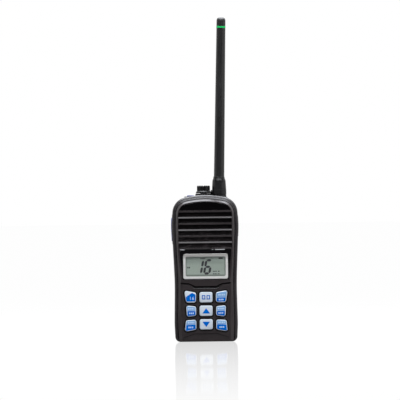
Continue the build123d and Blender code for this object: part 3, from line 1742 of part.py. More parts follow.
with BuildPart() as clip_pin:
    with BuildSketch(side(-bracket_half)):
        with Locations((pin_y, pin_z)):
            Circle(pin_radius)
    extrude(amount=2 * bracket_half)
    with BuildSketch(side(bracket_half)):
        with Locations((pin_y, pin_z)):
            Circle(pin_head_radius)
    extrude(amount=pin_head)
clip_pin.part.label = "clip_pin"
export_step(clip_pin.part, "parts/clip_pin.step")

clip_inner_y = clip_front_y
clip_outer_y = clip_front_y + clip_thickness
clip_tip_y = pack_back_y + clip_tip_gap
with BuildPart() as belt_clip:
    with BuildSketch(side(-clip_half)):
        with BuildLine():
            FilletPolyline(
                (clip_inner_y, clip_top_z),
                (clip_inner_y, clip_foot_z + clip_hook_height),
                (clip_tip_y, clip_foot_z + clip_hook_height / 2),
                (clip_inner_y - clip_thickness, clip_foot_z),
                (clip_outer_y, clip_foot_z + clip_hook_height / 2),
                (clip_outer_y, clip_top_z),
                radius=[0.5, 2.5, 0.8, 1.6, 2.5, 0.8],
                close=True,
            )
        make_face()
        with Locations((pin_y, pin_z)):
            Circle(clip_hub_radius)
    extrude(amount=2 * clip_half)
    with BuildSketch(side(-clip_half)):
        with Locations((pin_y, pin_z)):
            Circle(pin_radius + pin_gap)
    extrude(amount=2 * clip_half, mode=Mode.SUBTRACT)
    # room for the spring around the pin
    with BuildSketch(front(clip_inner_y)):
        add(box_face(-spring_half - 0.4, spring_half + 0.4, pin_z - 3.0, pin_z + 3.0))
    extrude(amount=clip_hub_radius * 2, mode=Mode.SUBTRACT)
    # ribbed thumb pad
    with BuildSketch(front(clip_outer_y)):
        with Locations((0, clip_top_z - 4.5)):
            with GridLocations(0, clip_rib_pitch, 1, clip_rib_count):
                Rectangle(2 * clip_half - 3, 0.8)
    extrude(amount=-0.4)
belt_clip.part.label = "belt_clip"
export_step(belt_clip.part, "parts/belt_clip.step")

with BuildPart() as clip_spring:
    with BuildSketch(side(-spring_half)):
        with Locations((pin_y, pin_z)):
            Circle(spring_radius)
            Circle(spring_radius - spring_wire, mode=Mode.SUBTRACT)
    extrude(amount=2 * spring_half)
clip_spring.part.label = "clip_spring"
export_step(clip_spring.part, "parts/clip_spring.step")
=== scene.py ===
import json
import math

import bmesh
import bpy
from mathutils import Matrix, Vector
from mathutils.kdtree import KDTree

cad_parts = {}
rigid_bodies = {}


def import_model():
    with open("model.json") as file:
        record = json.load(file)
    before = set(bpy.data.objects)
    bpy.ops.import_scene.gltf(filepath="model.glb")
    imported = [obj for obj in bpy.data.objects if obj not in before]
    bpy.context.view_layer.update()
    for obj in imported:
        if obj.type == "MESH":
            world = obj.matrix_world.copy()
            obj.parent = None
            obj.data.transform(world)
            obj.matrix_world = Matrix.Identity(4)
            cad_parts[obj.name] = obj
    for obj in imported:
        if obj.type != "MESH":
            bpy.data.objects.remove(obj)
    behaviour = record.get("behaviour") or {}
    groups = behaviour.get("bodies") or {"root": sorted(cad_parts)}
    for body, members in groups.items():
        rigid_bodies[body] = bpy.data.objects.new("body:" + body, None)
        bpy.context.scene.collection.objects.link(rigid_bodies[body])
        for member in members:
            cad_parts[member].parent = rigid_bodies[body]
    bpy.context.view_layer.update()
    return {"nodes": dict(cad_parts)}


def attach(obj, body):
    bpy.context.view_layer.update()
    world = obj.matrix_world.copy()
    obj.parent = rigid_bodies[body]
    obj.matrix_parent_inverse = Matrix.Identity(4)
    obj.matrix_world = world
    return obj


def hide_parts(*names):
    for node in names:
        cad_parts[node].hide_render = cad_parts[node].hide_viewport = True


for leftover in list(bpy.data.objects):
    bpy.data.objects.remove(leftover)
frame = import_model()
cadNodes = frame["nodes"]
mm = 0.001
fieldY = -18.2  # front of the keypad field, in millimetres
print("frame loaded:", len(cadNodes), "nodes")


def tone(red, green, blue):
    # screen colour 0-255 to the linear colour that the shader takes
    screen = (red / 255, green / 255, blue / 255)
    return (*(c / 12.92 if c <= 0.04045 else ((c + 0.055) / 1.055) ** 2.4 for c in screen), 1.0)


class NodeChain:
    # the node steps that the finishes and the world share
    def __init__(self, tree):
        self.tree = tree

    def node(self, kind, values=None, links=None, **settings):
        made = self.tree.nodes.new(kind)
        for key, value in settings.items():
            setattr(made, key, value)
        for key, value in (values or {}).items():
            made.inputs[key].default_value = value
        for key, source in (links or {}).items():
            self.tree.links.new(source, made.inputs[key])
        return made

    def link(self, source, target):
        self.tree.links.new(source, target)

    def spread(self, source, low, high, fromLow=0.0, fromHigh=1.0, **settings):
        limits = {"From Min": fromLow, "From Max": fromHigh, "To Min": low, "To Max": high}
        return self.node("ShaderNodeMapRange", limits, {"Value": source}, **settings).outputs["Result"]

    def sums(self, operation, first, second):
        made = self.node("ShaderNodeMath", operation=operation)
        for index, value in enumerate((first, second)):
            if isinstance(value, (int, float)):
                made.inputs[index].default_value = value
            else:
                self.link(value, made.inputs[index])
        return made.outputs["Value"]

    def parts(self, vector):
        return self.node("ShaderNodeSeparateXYZ", links={"Vector": vector}).outputs

    def mixed(self, share, first, second):
        made = self.node("ShaderNodeMixShader", links={0: share, 1: first, 2: second})
        return made.outputs["Shader"]

    def seenDirectly(self):
        # 1 for what the camera sees, straight or by way of gloss and glass
        seen = self.node("ShaderNodeLightPath").outputs
        return self.sums("MAXIMUM", self.sums("MAXIMUM", seen["Is Camera Ray"], seen["Is Glossy Ray"]),
                         seen["Is Transmission Ray"])


class Finish(NodeChain):
    # a Principled material whose patterns sit on object coordinates
    def __init__(self, name):
        self.material = bpy.data.materials.new(name)
        self.material.use_nodes = True
        super().__init__(self.material.node_tree)
        self.shader = self.tree.nodes["Principled BSDF"]
        self.output = self.tree.nodes["Material Output"]
        self.place = self.node("ShaderNodeTexCoord").outputs["Object"]

    def level(self, key, value):
        self.shader.inputs[key].default_value = value

    def drive(self, colour, rough, normal):
        for key, source in (("Base Color", colour), ("Roughness", rough), ("Normal", normal)):
            self.link(source, self.shader.inputs[key])

    def replaceShader(self, surface):
        self.link(surface, self.output.inputs["Surface"])
        self.tree.nodes.remove(self.shader)

    def stretched(self, scale):
        # object coordinates with their own scale along each axis
        made = self.node("ShaderNodeMapping", {"Scale": scale}, {"Vector": self.place})
        return made.outputs["Vector"]

    def noise(self, scale, detail=3.0, rough=0.5, place=None, distort=0.0):
        values = {"Scale": scale, "Detail": detail, "Roughness": rough, "Distortion": distort}
        return self.node("ShaderNodeTexNoise", values, {"Vector": place or self.place}).outputs["Fac"]

    def cells(self, scale):
        made = self.node("ShaderNodeTexVoronoi", {"Scale": scale}, {"Vector": self.place}, feature="F1")
        return made.outputs["Distance"]

    def waves(self, scale, place=None, direction="X", distort=0.0):
        made = self.node("ShaderNodeTexWave", {"Scale": scale, "Distortion": distort},
                         {"Vector": place or self.place}, wave_type="BANDS", bands_direction=direction)
        return made.outputs["Fac"]

    def blend(self, share, first, second):
        made = self.node("ShaderNodeMix", data_type="RGBA")
        self.link(share, made.inputs["Factor"])
        for socket, value in ((made.inputs[6], first), (made.inputs[7], second)):
            if isinstance(value, tuple):
                socket.default_value = value
            else:
                self.link(value, socket)
        return made.outputs[2]

    def mottled(self, source, span, first, second):
        # first where the source lies below the span, second above it
        return self.blend(self.spread(source, 0.0, 1.0, *span), first, second)

    def height(self, source, strength, distance, edgeRadius=0.0):
        made = self.node("ShaderNodeBump", {"Strength": strength, "Distance": distance}, {"Height": source})
        if edgeRadius:
            self.link(self.softEdge(edgeRadius), made.inputs["Normal"])
        return made.outputs["Normal"]

    def softEdge(self, radius):
        return self.node("ShaderNodeBevel", {"Radius": radius}, samples=4).outputs["Normal"]

    def edgeShare(self, radius, fullTurn=0.75):
        # 0 on flats, 1 where the rounded normal has turned to a cosine of fullTurn
        flat = self.node("ShaderNodeNewGeometry").outputs["Normal"]
        turned = self.node("ShaderNodeVectorMath", links={0: self.softEdge(radius), 1: flat}, operation="DOT_PRODUCT")
        return self.spread(turned.outputs["Value"], 1.0, 0.0, fullTurn, 1.0)


roughSpan = (0.3, 0.7)  # share of a noise over which roughness goes from its low to its high value


def grainedPlastic(name, look):
    # moulded plastic with a spark-eroded grain, handled spots and slightly polished edges
    finish = Finish(name)
    grain = finish.cells(look["grainScale"])
    fine = finish.noise(look["grainScale"] * look["fineRatio"], detail=4.0, rough=0.6)
    patches = finish.noise(look["patchScale"], detail=4.0, rough=0.55, distort=0.6)
    edges = finish.edgeShare(look["edgeWidth"])
    body = finish.mottled(patches, look["patchSpan"], look["colour"], look["handled"])
    relief = finish.sums("ADD", grain, finish.sums("MULTIPLY", fine, look["fineShare"]))
    finish.drive(
        finish.blend(finish.sums("MULTIPLY", edges, look["edgeShow"]), body, look["edgeColour"]),
        finish.sums("SUBTRACT", finish.spread(patches, *look["rough"], *roughSpan),
                    finish.sums("MULTIPLY", edges, look["edgePolish"])),
        finish.height(relief, look["relief"], look["reliefDepth"], look["edgeRadius"]))
    finish.level("Specular IOR Level", look["gloss"])
    return finish.material


def glossPlastic(name, look):
    # polished moulding or sheet with faint waviness, hairline scratches and a little dust in the gloss
    finish = Finish(name)
    wave = finish.noise(look["waveScale"], detail=2.0, rough=0.4)
    hairs = finish.noise(look["hairScale"], detail=5.0, rough=0.7, place=finish.stretched(look["hairStretch"]))
    dust = finish.noise(look["dustScale"], detail=2.0, rough=0.5)
    specks = finish.spread(dust, 0.0, 1.0, *look["dustSpan"])
    marks = finish.spread(hairs, 0.0, 1.0, *look["hairSpan"])
    colour = finish.blend(finish.sums("MULTIPLY", specks, look["dustTint"]), look["colour"], look["dustColour"])
    if "paintedLightFoot" in look:  # painted light: another tone at the foot of the piece, for reflection and shade that change with height
        low, high = look["paintedLightFootSpan"]
        foot = finish.spread(finish.parts(finish.place)["Z"], 1.0, 0.0, low * mm, high * mm)
        colour = finish.blend(foot, colour, look["paintedLightFoot"])
    scratched = finish.sums("ADD", look["rough"], finish.sums("MULTIPLY", marks, look["hairShow"]))
    finish.drive(colour, finish.sums("ADD", scratched, finish.sums("MULTIPLY", specks, look["dustShow"])),
                 finish.height(wave, look["waveShow"], look["waveDepth"], look["edgeRadius"]))
    finish.level("Specular IOR Level", look["gloss"])
    finish.level("IOR", look["bend"])
    return finish.material


def softRubber(name, look):
    # matt rubber with a fine skin, paler rubbed spots and rounded edges
    finish = Finish(name)
    skin = finish.noise(look["skinScale"], detail=5.0, rough=0.65)
    rubbed = finish.noise(look["rubScale"], detail=3.0, rough=0.5, distort=0.4)
    finish.drive(finish.mottled(rubbed, look["rubSpan"], look["colour"], look["rubbed"]),
                 finish.spread(rubbed, *look["rough"], *roughSpan),
                 finish.height(skin, look["relief"], look["skinDepth"], look["edgeRadius"]))
    finish.level("Specular IOR Level", look["gloss"])
    return finish.material


def plainMetal(name, look):
    # turned or rolled metal with fine lines along one axis and dull spots
    finish = Finish(name)
    lines = finish.noise(look["lineScale"], detail=4.0, rough=0.6, place=finish.stretched(look["stretch"]))
    dull = finish.noise(look["dullScale"], detail=3.0, rough=0.5)
    finish.drive(finish.mottled(dull, look["dullSpan"], look["colour"], look["dulled"]),
                 finish.sums("ADD", finish.spread(dull, *look["rough"], *roughSpan),
                             finish.sums("MULTIPLY", lines, look["lineShow"])),
                 finish.height(lines, look["relief"], look["lineDepth"], look["edgeRadius"]))
    finish.level("Metallic", look["metal"])
    return finish.material


caseLook = {
    "colour": tone(29, 25, 27), "handled": tone(35, 31, 33), "patchScale": 42.0, "patchSpan": (0.35, 0.7),
    "edgeColour": tone(52, 50, 52), "edgeShow": 0.3, "edgeWidth": 0.00035, "edgePolish": 0.08,
    "edgeRadius": 0.0008, "grainScale": 2600.0, "fineRatio": 2.3, "fineShare": 0.6, "relief": 0.2,
    "reliefDepth": 0.00008, "rough": (0.3, 0.38), "gloss": 0.5,
}
casePlastic = grainedPlastic("grained_case_black", caseLook)
shellPlastic = grainedPlastic("grained_shell_black", dict(
    caseLook, colour=tone(35, 29, 30), handled=tone(41, 35, 36), grainScale=3000.0, rough=(0.32, 0.4),
    edgeRadius=0.0003, gloss=0.4))
batteryPlastic = grainedPlastic("grained_battery_black", dict(
    caseLook, colour=tone(24, 23, 24), grainScale=2300.0, relief=0.34, rough=(0.5, 0.64)))

panelLook = {
    "colour": tone(4, 3, 4), "dustColour": tone(120, 116, 110), "dustTint": 0.02, "dustScale": 2400.0,
    "dustSpan": (0.7, 0.78), "dustShow": 0.25, "hairScale": 900.0, "hairStretch": (1.0, 1.0, 14.0),
    "hairSpan": (0.62, 0.75), "hairShow": 0.05, "waveScale": 60.0, "waveShow": 0.1, "waveDepth": 0.00004,
    "rough": 0.06, "edgeRadius": 0.00025, "gloss": 0.18, "bend": 1.5,
}
glossBlack = glossPlastic("polished_panel_black", panelLook)
edgeGloss = glossPlastic("polished_edge_black", dict(panelLook, gloss=1.0, rough=0.14, waveShow=0.05, bend=1.7))
# painted reflection: the panel's lower part is lighter, as where it mirrors a paler room
displayPanel = glossPlastic("polished_display_panel", dict(
    panelLook, paintedLightFoot=tone(38, 34, 36), paintedLightFootSpan=(61.0, 77.0)))
# painted shade: the frame is darker at its head than at its foot
framePaint = glossPlastic("satin_silver_paint", dict(
    panelLook, colour=tone(148, 145, 141), dustColour=tone(160, 156, 150), dustTint=0.3, rough=0.3,
    waveShow=0.2, hairShow=0.12, edgeRadius=0.0004, gloss=0.4, paintedLightFoot=tone(200, 198, 195), paintedLightFootSpan=(77.0, 81.5)))

rubberLook = {
    "skinScale": 2600.0, "skinDepth": 0.00006, "rubScale": 70.0, "rubSpan": (0.4, 0.75),
    "rough": (0.55, 0.75), "relief": 0.3, "edgeRadius": 0.00025, "gloss": 0.4,
}


def rubber(name, colour, rubbed, **changes):
    return softRubber(name, dict(rubberLook, colour=tone(*colour), rubbed=tone(*rubbed), **changes))


sealRubber = rubber("bezel_rubber_black", (20, 19, 20), (28, 27, 28))
# near-black matt rubber; as key flanges and as the groove and chin lines it is painted shade, on the pack seal strips
# it is their own colour
wellBlack = rubber("well_black", (7, 6, 7), (11, 10, 11), rough=(0.7, 0.85), gloss=0.05)
# painted shadow: the dark tone of the rings round the key openings
wellShade = rubber("well_shade", (20, 18, 19), (25, 23, 24), rough=(0.6, 0.75), gloss=0.12)
knobRubber = rubber("knob_rubber_black", (8, 7, 8), (14, 13, 14), rough=(0.28, 0.4), gloss=0.26)
collarRubber = rubber("knob_collar_rubber", (8, 7, 8), (12, 11, 12), rough=(0.4, 0.5), gloss=0.08)
coverRubber = rubber("socket_cover_rubber", (22, 21, 22), (30, 29, 30), rough=(0.6, 0.8))
antennaRubber = rubber("antenna_rubber", (7, 6, 7), (11, 10, 11), skinScale=1800.0, rubScale=36.0,
                       rough=(0.36, 0.46), relief=0.2, gloss=0.5)
bootRubber = rubber("antenna_boot_rubber", (8, 7, 8), (12, 11, 12), skinScale=1800.0, rubScale=36.0,
                    rough=(0.36, 0.46), relief=0.2, gloss=0.36)
topBlue = rubber("top_button_navy", (42, 50, 108), (46, 54, 114), rough=(0.5, 0.6), gloss=0.08)
talkBlue = rubber("talk_button_blue", (58, 72, 140), (70, 84, 152), rough=(0.45, 0.6))
bandGreen = rubber("green_band", (0, 176, 84), (10, 186, 96), rough=(0.35, 0.45), relief=0.12)
keySilicone = rubber("key_silicone", (196, 204, 213), (190, 198, 208), rough=(0.42, 0.55), relief=0.12,
                     edgeRadius=0.00035, gloss=0.45)
printPale = rubber("key_print_pale", (124, 164, 208), (117, 158, 202), rough=(0.55, 0.65), relief=0.08, gloss=0.1)
printBlue = rubber("key_print_blue", (0, 92, 188), (0, 99, 195), rough=(0.6, 0.7), relief=0.08, gloss=0.0)
printLight = rubber("key_print_light", (176, 200, 226), (170, 195, 222), rough=(0.45, 0.55), relief=0.1)
cellFilm = rubber("cell_shrink_film", (52, 92, 140), (60, 100, 150), rough=(0.25, 0.4), relief=0.15)
diffuser = rubber("white_diffuser", (226, 226, 220), (218, 218, 212), rough=(0.5, 0.6), relief=0.1)
darkNylon = rubber("dark_nylon", (40, 39, 41), (50, 49, 51), rough=(0.45, 0.6))

metalLook = {
    "lineScale": 3000.0, "stretch": (1.0, 1.0, 0.06), "lineShow": 0.08, "lineDepth": 0.00003, "dullScale": 500.0,
    "dullSpan": (0.35, 0.75), "rough": (0.26, 0.4), "relief": 0.15, "edgeRadius": 0.00015, "metal": 1.0,
}


def metal(name, colour, dulled, **changes):
    return plainMetal(name, dict(metalLook, colour=tone(*colour), dulled=tone(*dulled), **changes))


steel = metal("zinc_steel", (186, 187, 190), (160, 160, 164))
brass = metal("machined_brass", (206, 170, 96), (178, 142, 78), stretch=(1.0, 1.0, 9.0))
canSteel = metal("tinned_can", (200, 200, 198), (176, 176, 174), stretch=(0.08, 1.0, 1.0))
castAlloy = metal("cast_alloy", (176, 177, 180), (150, 151, 155), stretch=(1.0, 1.0, 1.0), lineScale=1500.0,
                  relief=0.4, rough=(0.45, 0.6))
speakerMetal = metal("speaker_basket_paint", (58, 58, 60), (50, 50, 52), metal=0.4, rough=(0.45, 0.6), relief=0.3)

boardLook = {
    "mask": tone(18, 92, 50), "track": tone(38, 122, 70), "trackScale": 260.0, "trackStretch": (1.0, 0.0, 0.35),
    "trackBend": 3.0, "trackSpan": (0.55, 0.62), "fineScale": 1500.0, "fineShare": 0.2, "rough": (0.22, 0.38),
    "relief": 0.4, "depth": 0.00004,
}


def boardFinish(look):
    # solder mask over copper tracks
    finish = Finish("board_solder_mask")
    tracks = finish.waves(look["trackScale"], finish.stretched(look["trackStretch"]), "DIAGONAL", look["trackBend"])
    traces = finish.spread(tracks, 0.0, 1.0, *look["trackSpan"])
    fine = finish.noise(look["fineScale"])
    relief = finish.sums("ADD", traces, finish.sums("MULTIPLY", fine, look["fineShare"]))
    finish.drive(finish.blend(traces, look["mask"], look["track"]), finish.spread(fine, *look["rough"]),
                 finish.height(relief, look["relief"], look["depth"]))
    return finish.material


clothLook = {
    "gap": tone(6, 5, 5), "thread": tone(72, 66, 68), "lint": tone(74, 68, 70), "threadScale": 320.0, "threadBend": 0.4,
    "lintScale": 520.0, "lintStretch": (0.35, 1.0, 1.6), "lintSpan": (0.5, 0.75), "shade": (1.0, 0.12),
    "shadeSpan": (92.0, 107.0), "rough": (0.9, 0.75), "relief": 0.8, "depth": 0.00018, "gloss": 0.08,
}


def clothFinish(look):
    # plain weave behind the slots with painted shade, darker towards its head, and pale lint here and there that shows
    # only in the painted lit part
    finish = Finish("speaker_cloth_weave")
    warp, weft = (finish.waves(look["threadScale"], None, axis, look["threadBend"]) for axis in "XZ")
    weave = finish.sums("MULTIPLY", warp, weft)
    lint = finish.noise(look["lintScale"], detail=4.0, rough=0.6, place=finish.stretched(look["lintStretch"]))
    low, high = look["shadeSpan"]
    lit = finish.spread(finish.parts(finish.place)["Z"], *look["shade"], low * mm, high * mm)
    paler = finish.sums("MULTIPLY", finish.spread(lint, 0.0, 1.0, *look["lintSpan"]), lit)
    woven = finish.blend(finish.sums("MULTIPLY", weave, lit), look["gap"], look["thread"])
    finish.drive(finish.blend(paler, woven, look["lint"]), finish.spread(weave, *look["rough"]),
                 finish.height(weave, look["relief"], look["depth"]))
    finish.level("Specular IOR Level", look["gloss"])
    return finish.material


def fineGrained(name, look):
    # one noise for tone, roughness and relief: pressed paper fibres or display crystal
    finish = Finish(name)
    place = finish.stretched(look["stretch"]) if "stretch" in look else None
    grain = finish.noise(look["scale"], look["detail"], look["noiseRough"], place)
    finish.drive(finish.mottled(grain, look["span"], look["colour"], look["second"]),
                 finish.spread(grain, *look["rough"]), finish.height(grain, look["relief"], look["depth"]))
    return finish.material


coneLook = {
    "colour": tone(26, 25, 26), "second": tone(52, 50, 50), "scale": 1800.0, "detail": 6.0, "noiseRough": 0.7,
    "stretch": (1.0, 1.0, 0.3), "span": (0.35, 0.7), "rough": (0.75, 0.92), "relief": 0.6, "depth": 0.0001,
}
segmentLook = {
    "colour": tone(34, 29, 38), "second": tone(44, 40, 48), "scale": 3000.0, "detail": 2.0, "noiseRough": 0.5,
    "span": (0.3, 0.7), "rough": (0.3, 0.4), "relief": 0.06, "depth": 0.00002,
}
# lit and shaded are painted light and shade on the glass; edge is painted shade along its rim and foot
displayLook = {
    "lit": tone(150, 159, 150), "shaded": tone(138, 147, 139), "edge": tone(70, 76, 72), "shadeSpan": (72.6, 75.6),
    "rippleScale": 90.0, "ripple": 0.0012, "rimShadeSpan": (17.2, 18.4), "rimShadeShare": 0.5, "footShadeSpan": (62.2, 63.6),
    "footShadeShare": 0.7, "cellScale": 4200.0, "rough": (0.3, 0.42), "relief": 0.08, "depth": 0.00002,
}


def displayFinish(look):
    # reflective display glass with painted shade from the frame: darker towards its head and round its rim and foot,
    # with a faint polariser grain
    finish = Finish("display_glass")
    spot = finish.parts(finish.place)

    def between(source, low, high, span):
        return finish.spread(source, low, high, span[0] * mm, span[1] * mm)

    ripple = finish.sums("MULTIPLY", finish.noise(look["rippleScale"], detail=2.0), look["ripple"])
    level = finish.sums("ADD", spot["Z"], ripple)
    field = finish.blend(between(level, 0.0, 1.0, look["shadeSpan"]), look["lit"], look["shaded"])
    side = finish.sums("ABSOLUTE", spot["X"], 0.0)
    # painted shade along the glass's sides and foot, next to the frame
    rim = finish.sums("MULTIPLY", between(side, 0.0, 1.0, look["rimShadeSpan"]), look["rimShadeShare"])
    foot = finish.sums("MULTIPLY", between(spot["Z"], 1.0, 0.0, look["footShadeSpan"]), look["footShadeShare"])
    cells = finish.noise(look["cellScale"], detail=1.0, rough=0.4)
    finish.drive(finish.blend(finish.sums("MAXIMUM", rim, foot), field, look["edge"]),
                 finish.spread(cells, *look["rough"]), finish.height(cells, look["relief"], look["depth"]))
    return finish.material


lensLook = {
    "smearScale": 120.0, "smearStretch": (1.0, 1.0, 2.2), "smearBend": 1.2, "smearSpan": (0.4, 0.8),
    "rough": (0.03, 0.16), "through": (0.995, 1.0, 0.995, 1), "steepness": 5.0, "slantShare": 0.8, "frontShare": 0.014,
}


def lensFinish(look):
    # clear window: mostly see-through, with the mirror share that its angle gives and a few smears
    finish = Finish("clear_window")
    smears = finish.noise(look["smearScale"], detail=4.0, rough=0.6, place=finish.stretched(look["smearStretch"]),
                          distort=look["smearBend"])
    shine = finish.node("ShaderNodeBsdfGlossy", {"Color": (1, 1, 1, 1)},
                        {"Roughness": finish.spread(smears, *look["rough"], *look["smearSpan"])})
    through = finish.node("ShaderNodeBsdfTransparent", {"Color": look["through"]})
    slant = finish.node("ShaderNodeLayerWeight", {"Blend": 0.5}).outputs["Facing"]
    steep = finish.sums("MULTIPLY", finish.sums("POWER", slant, look["steepness"]), look["slantShare"])
    share = finish.sums("ADD", steep, look["frontShare"])
    finish.replaceShader(finish.mixed(share, through.outputs["BSDF"], shine.outputs["BSDF"]))
    return finish.material


boardGreen = boardFinish(boardLook)
speakerCloth = clothFinish(clothLook)
conePaper = fineGrained("speaker_cone_paper", coneLook)
segmentDark = fineGrained("display_segment", segmentLook)
displayGlass = displayFinish(displayLook)
clearWindow = lensFinish(lensLook)
print("finishes made:", len(bpy.data.materials))

rowStep = {"upper": 1, "middle": 0, "lower": -1}  # the rows of keys, in steps above the middle one
sides = ("left", "centre", "right")
nodeFinish = {
    casePlastic: ["rear_case"],
    shellPlastic: ["front_shell"],
    glossBlack: ["name_plate"],
    displayPanel: ["display_panel"],
    batteryPlastic: ["battery_case", "battery_cover", "belt_clip", "clip_bracket"],
    framePaint: ["lcd_frame"],
    clearWindow: ["lcd_lens"],
    displayGlass: ["lcd_panel"],
    diffuser: ["backlight"],
    speakerCloth: ["speaker_cloth"],
    conePaper: ["speaker_cone"],
    speakerMetal: ["speaker_basket", "microphone"],
    boardGreen: ["main_board", "control_board"],
    canSteel: ["shield_can"],
    castAlloy: ["chassis", "volume_pot"],
    steel: ["case_screws", "clip_screws", "clip_pin", "clip_spring", "volume_shaft"],
    brass: ["antenna_jack", "antenna_plug", "antenna_core", "case_contacts", "battery_contacts"],
    darkNylon: ["accessory_jack", "top_switch", "ptt_switch"],
    sealRubber: ["case_gasket", "button_bezel", "ptt_bezel", "antenna_seal", "keypad_mat"],
    knobRubber: ["volume_knob", "battery_latch"],
    collarRubber: ["knob_collar"],
    coverRubber: ["jack_cover"],
    bootRubber: ["antenna_boot"],
    antennaRubber: ["antenna_whip", "antenna_tip"],
    bandGreen: ["antenna_band"],
    topBlue: ["top_button"],
    talkBlue: ["ptt_button"],
    cellFilm: ["battery_cells"],
    keySilicone: [f"key_{row}_{side}" for row in rowStep for side in sides],
}
for finish, names in nodeFinish.items():
    for name in names:
        for slot in cadNodes[name].material_slots:
            slot.link = "OBJECT"
            slot.material = finish


def boxCorners(left, right, foot, head):
    return [(left, head), (left, foot), (right, foot), (right, head)]


leastReach = 0.001  # a corner whose rounding reaches less than this, in millimetres, stays sharp


def sheetFace(bm, corners, y, rounding=0.0, steps=5):
    # one upright face, its corners given as (x, z) and rounded to a radius
    before = set(bm.faces)
    ring = [bm.verts.new((x, y, z)) for x, z in corners]
    bm.faces.new(ring)
    reach = []
    for index, (x, z) in enumerate(corners):
        ahead, behind = corners[(index + 1) % len(corners)], corners[index - 1]
        bend = Vector((ahead[0] - x, ahead[1] - z)).angle(Vector((behind[0] - x, behind[1] - z)))
        reach.append(rounding / math.tan(bend / 2))
    for corner, offset in zip(ring, reach):
        if offset > leastReach:
            bmesh.ops.bevel(bm, geom=[corner], offset=offset, segments=steps, profile=0.5, affect="VERTICES",
                            material=-1)
    return (set(bm.faces) - before).pop()


def raised(bm, faces, depth):
    # pulls faces forwards and returns the moved ones
    grown = bmesh.ops.extrude_face_region(bm, geom=faces, use_keep_orig=True)["geom"]
    bmesh.ops.translate(bm, verts=[g for g in grown if isinstance(g, bmesh.types.BMVert)], vec=(0, -depth, 0))
    return [g for g in grown if isinstance(g, bmesh.types.BMFace)]


def sweptBand(bm, at, section, start, turn, steps):
    # a section of (reach, z) points swept round an upright axis, capped where the turn isn't full
    centre = Vector((*at, 0.0))
    around = Matrix.Rotation(math.radians(start), 4, "Z")
    verts = [bm.verts.new(centre + around @ Vector((reach, 0.0, z))) for reach, z in section]
    whole = turn >= 360.0
    if whole:
        source = [bm.edges.new((verts[i - 1], verts[i])) for i in range(len(verts))] + verts
    else:
        source = [bm.faces.new(verts)]
    bmesh.ops.spin(bm, geom=source, cent=centre, axis=(0, 0, 1), angle=math.radians(turn), steps=steps, use_merge=whole)


smoothAngle = 35  # edges that bend more than this, in degrees, are shaded sharp


def finished(bm, name, body, finishes):
    # turns a bmesh in millimetres into a piece that rides on a body
    bmesh.ops.scale(bm, verts=bm.verts, vec=(mm, mm, mm))
    bmesh.ops.recalc_face_normals(bm, faces=bm.faces)
    mesh = bpy.data.meshes.new(name)
    bm.to_mesh(mesh)
    bm.free()
    mesh.shade_smooth()
    mesh.set_sharp_from_angle(angle=math.radians(smoothAngle))
    piece = bpy.data.objects.new(name, mesh)
    bpy.context.scene.collection.objects.link(piece)
    for finish in finishes:
        mesh.materials.append(finish)
    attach(piece, body)
    return piece


keypad = {
    "pitch": 12.7, "middle": 29.1, "halfWidth": 6.1, "height": 9.7, "inner": 9.3, "outer": 20.5,
    "round": 1.8, "sideRound": 2.1, "front": -19.5, "root": -16.2, "flangeFront": -16.4, "back": -15.8,
    "flange": 0.9, "softEdge": 0.6, "steps": 6, "edgeSteps": 5,
    # each row of side keys: outer top (inset, dz), inner top dz, inner foot dz, outer foot (inset, dz)
    "sideShape": {
        "upper": ((0.0, 6.5), 4.4, -4.8, (1.9, -4.9)),
        "middle": ((1.7, 5.1), 4.1, -4.6, (2.5, -5.5)),
        "lower": ((1.5, 3.9), 4.5, -4.9, (0.4, -6.9)),
    },
}
# the flange's near-black finish is painted shade for the dark gap round each key
capFinish = {"silicone": keySilicone, "pale": printPale, "blue": printBlue, "light": printLight, "flange": wellBlack}
capIndex = {name: index for index, name in enumerate(capFinish)}


def keyMiddle(row):
    return keypad["middle"] + rowStep[row] * keypad["pitch"]


def keyRounding(side):
    return keypad["round"] if side == "centre" else keypad["sideRound"]


def keyCorners(row, side):
    z = keyMiddle(row)
    if side == "centre":
        x, rise = keypad["halfWidth"], keypad["height"] / 2
        return boxCorners(-x, x, z - rise, z + rise)
    outerTop, innerTop, innerFoot, outerFoot = keypad["sideShape"][row]
    way = -1 if side == "left" else 1
    outer, inner = keypad["outer"], way * keypad["inner"]
    return [(way * (outer - outerTop[0]), z + outerTop[1]), (way * (outer - outerFoot[0]), z + outerFoot[1]),
            (inner, z + innerFoot), (inner, z + innerTop)]


def insetCorners(corners, inset):
    # corners of a polygon moved inwards by inset from every side
    moved = []
    turn = sum(a[0] * b[1] - b[0] * a[1] for a, b in zip(corners, corners[1:] + corners[:1]))
    inwards = 1 if turn > 0 else -1
    for before, corner, after in zip(corners[-1:] + corners[:-1], corners, corners[1:] + corners[:1]):
        first = Vector((corner[0] - before[0], corner[1] - before[1])).normalized()
        second = Vector((after[0] - corner[0], after[1] - corner[1])).normalized()
        firstIn, secondIn = Vector((-first.y, first.x)) * inwards, Vector((-second.y, second.x)) * inwards
        reach = (firstIn + secondIn) / (1 + firstIn.dot(secondIn))
        moved.append((corner[0] + reach.x * inset, corner[1] + reach.y * inset))
    return moved


def halfOf(corners, left, right, keepBelow):
    # the part of a polygon on one side of the line through two points
    bm = bmesh.new()
    sheetFace(bm, corners, 0)
    across = Vector((right[0] - left[0], 0, right[1] - left[1])).normalized()
    bmesh.ops.bisect_plane(bm, geom=bm.verts[:] + bm.edges[:] + bm.faces[:], plane_co=(left[0], 0, left[1]),
                           plane_no=(-across.z, 0, across.x), clear_outer=keepBelow, clear_inner=not keepBelow)
    kept = [(v.co.x, v.co.z) for v in bm.faces[:][0].verts]
    bm.free()
    return kept


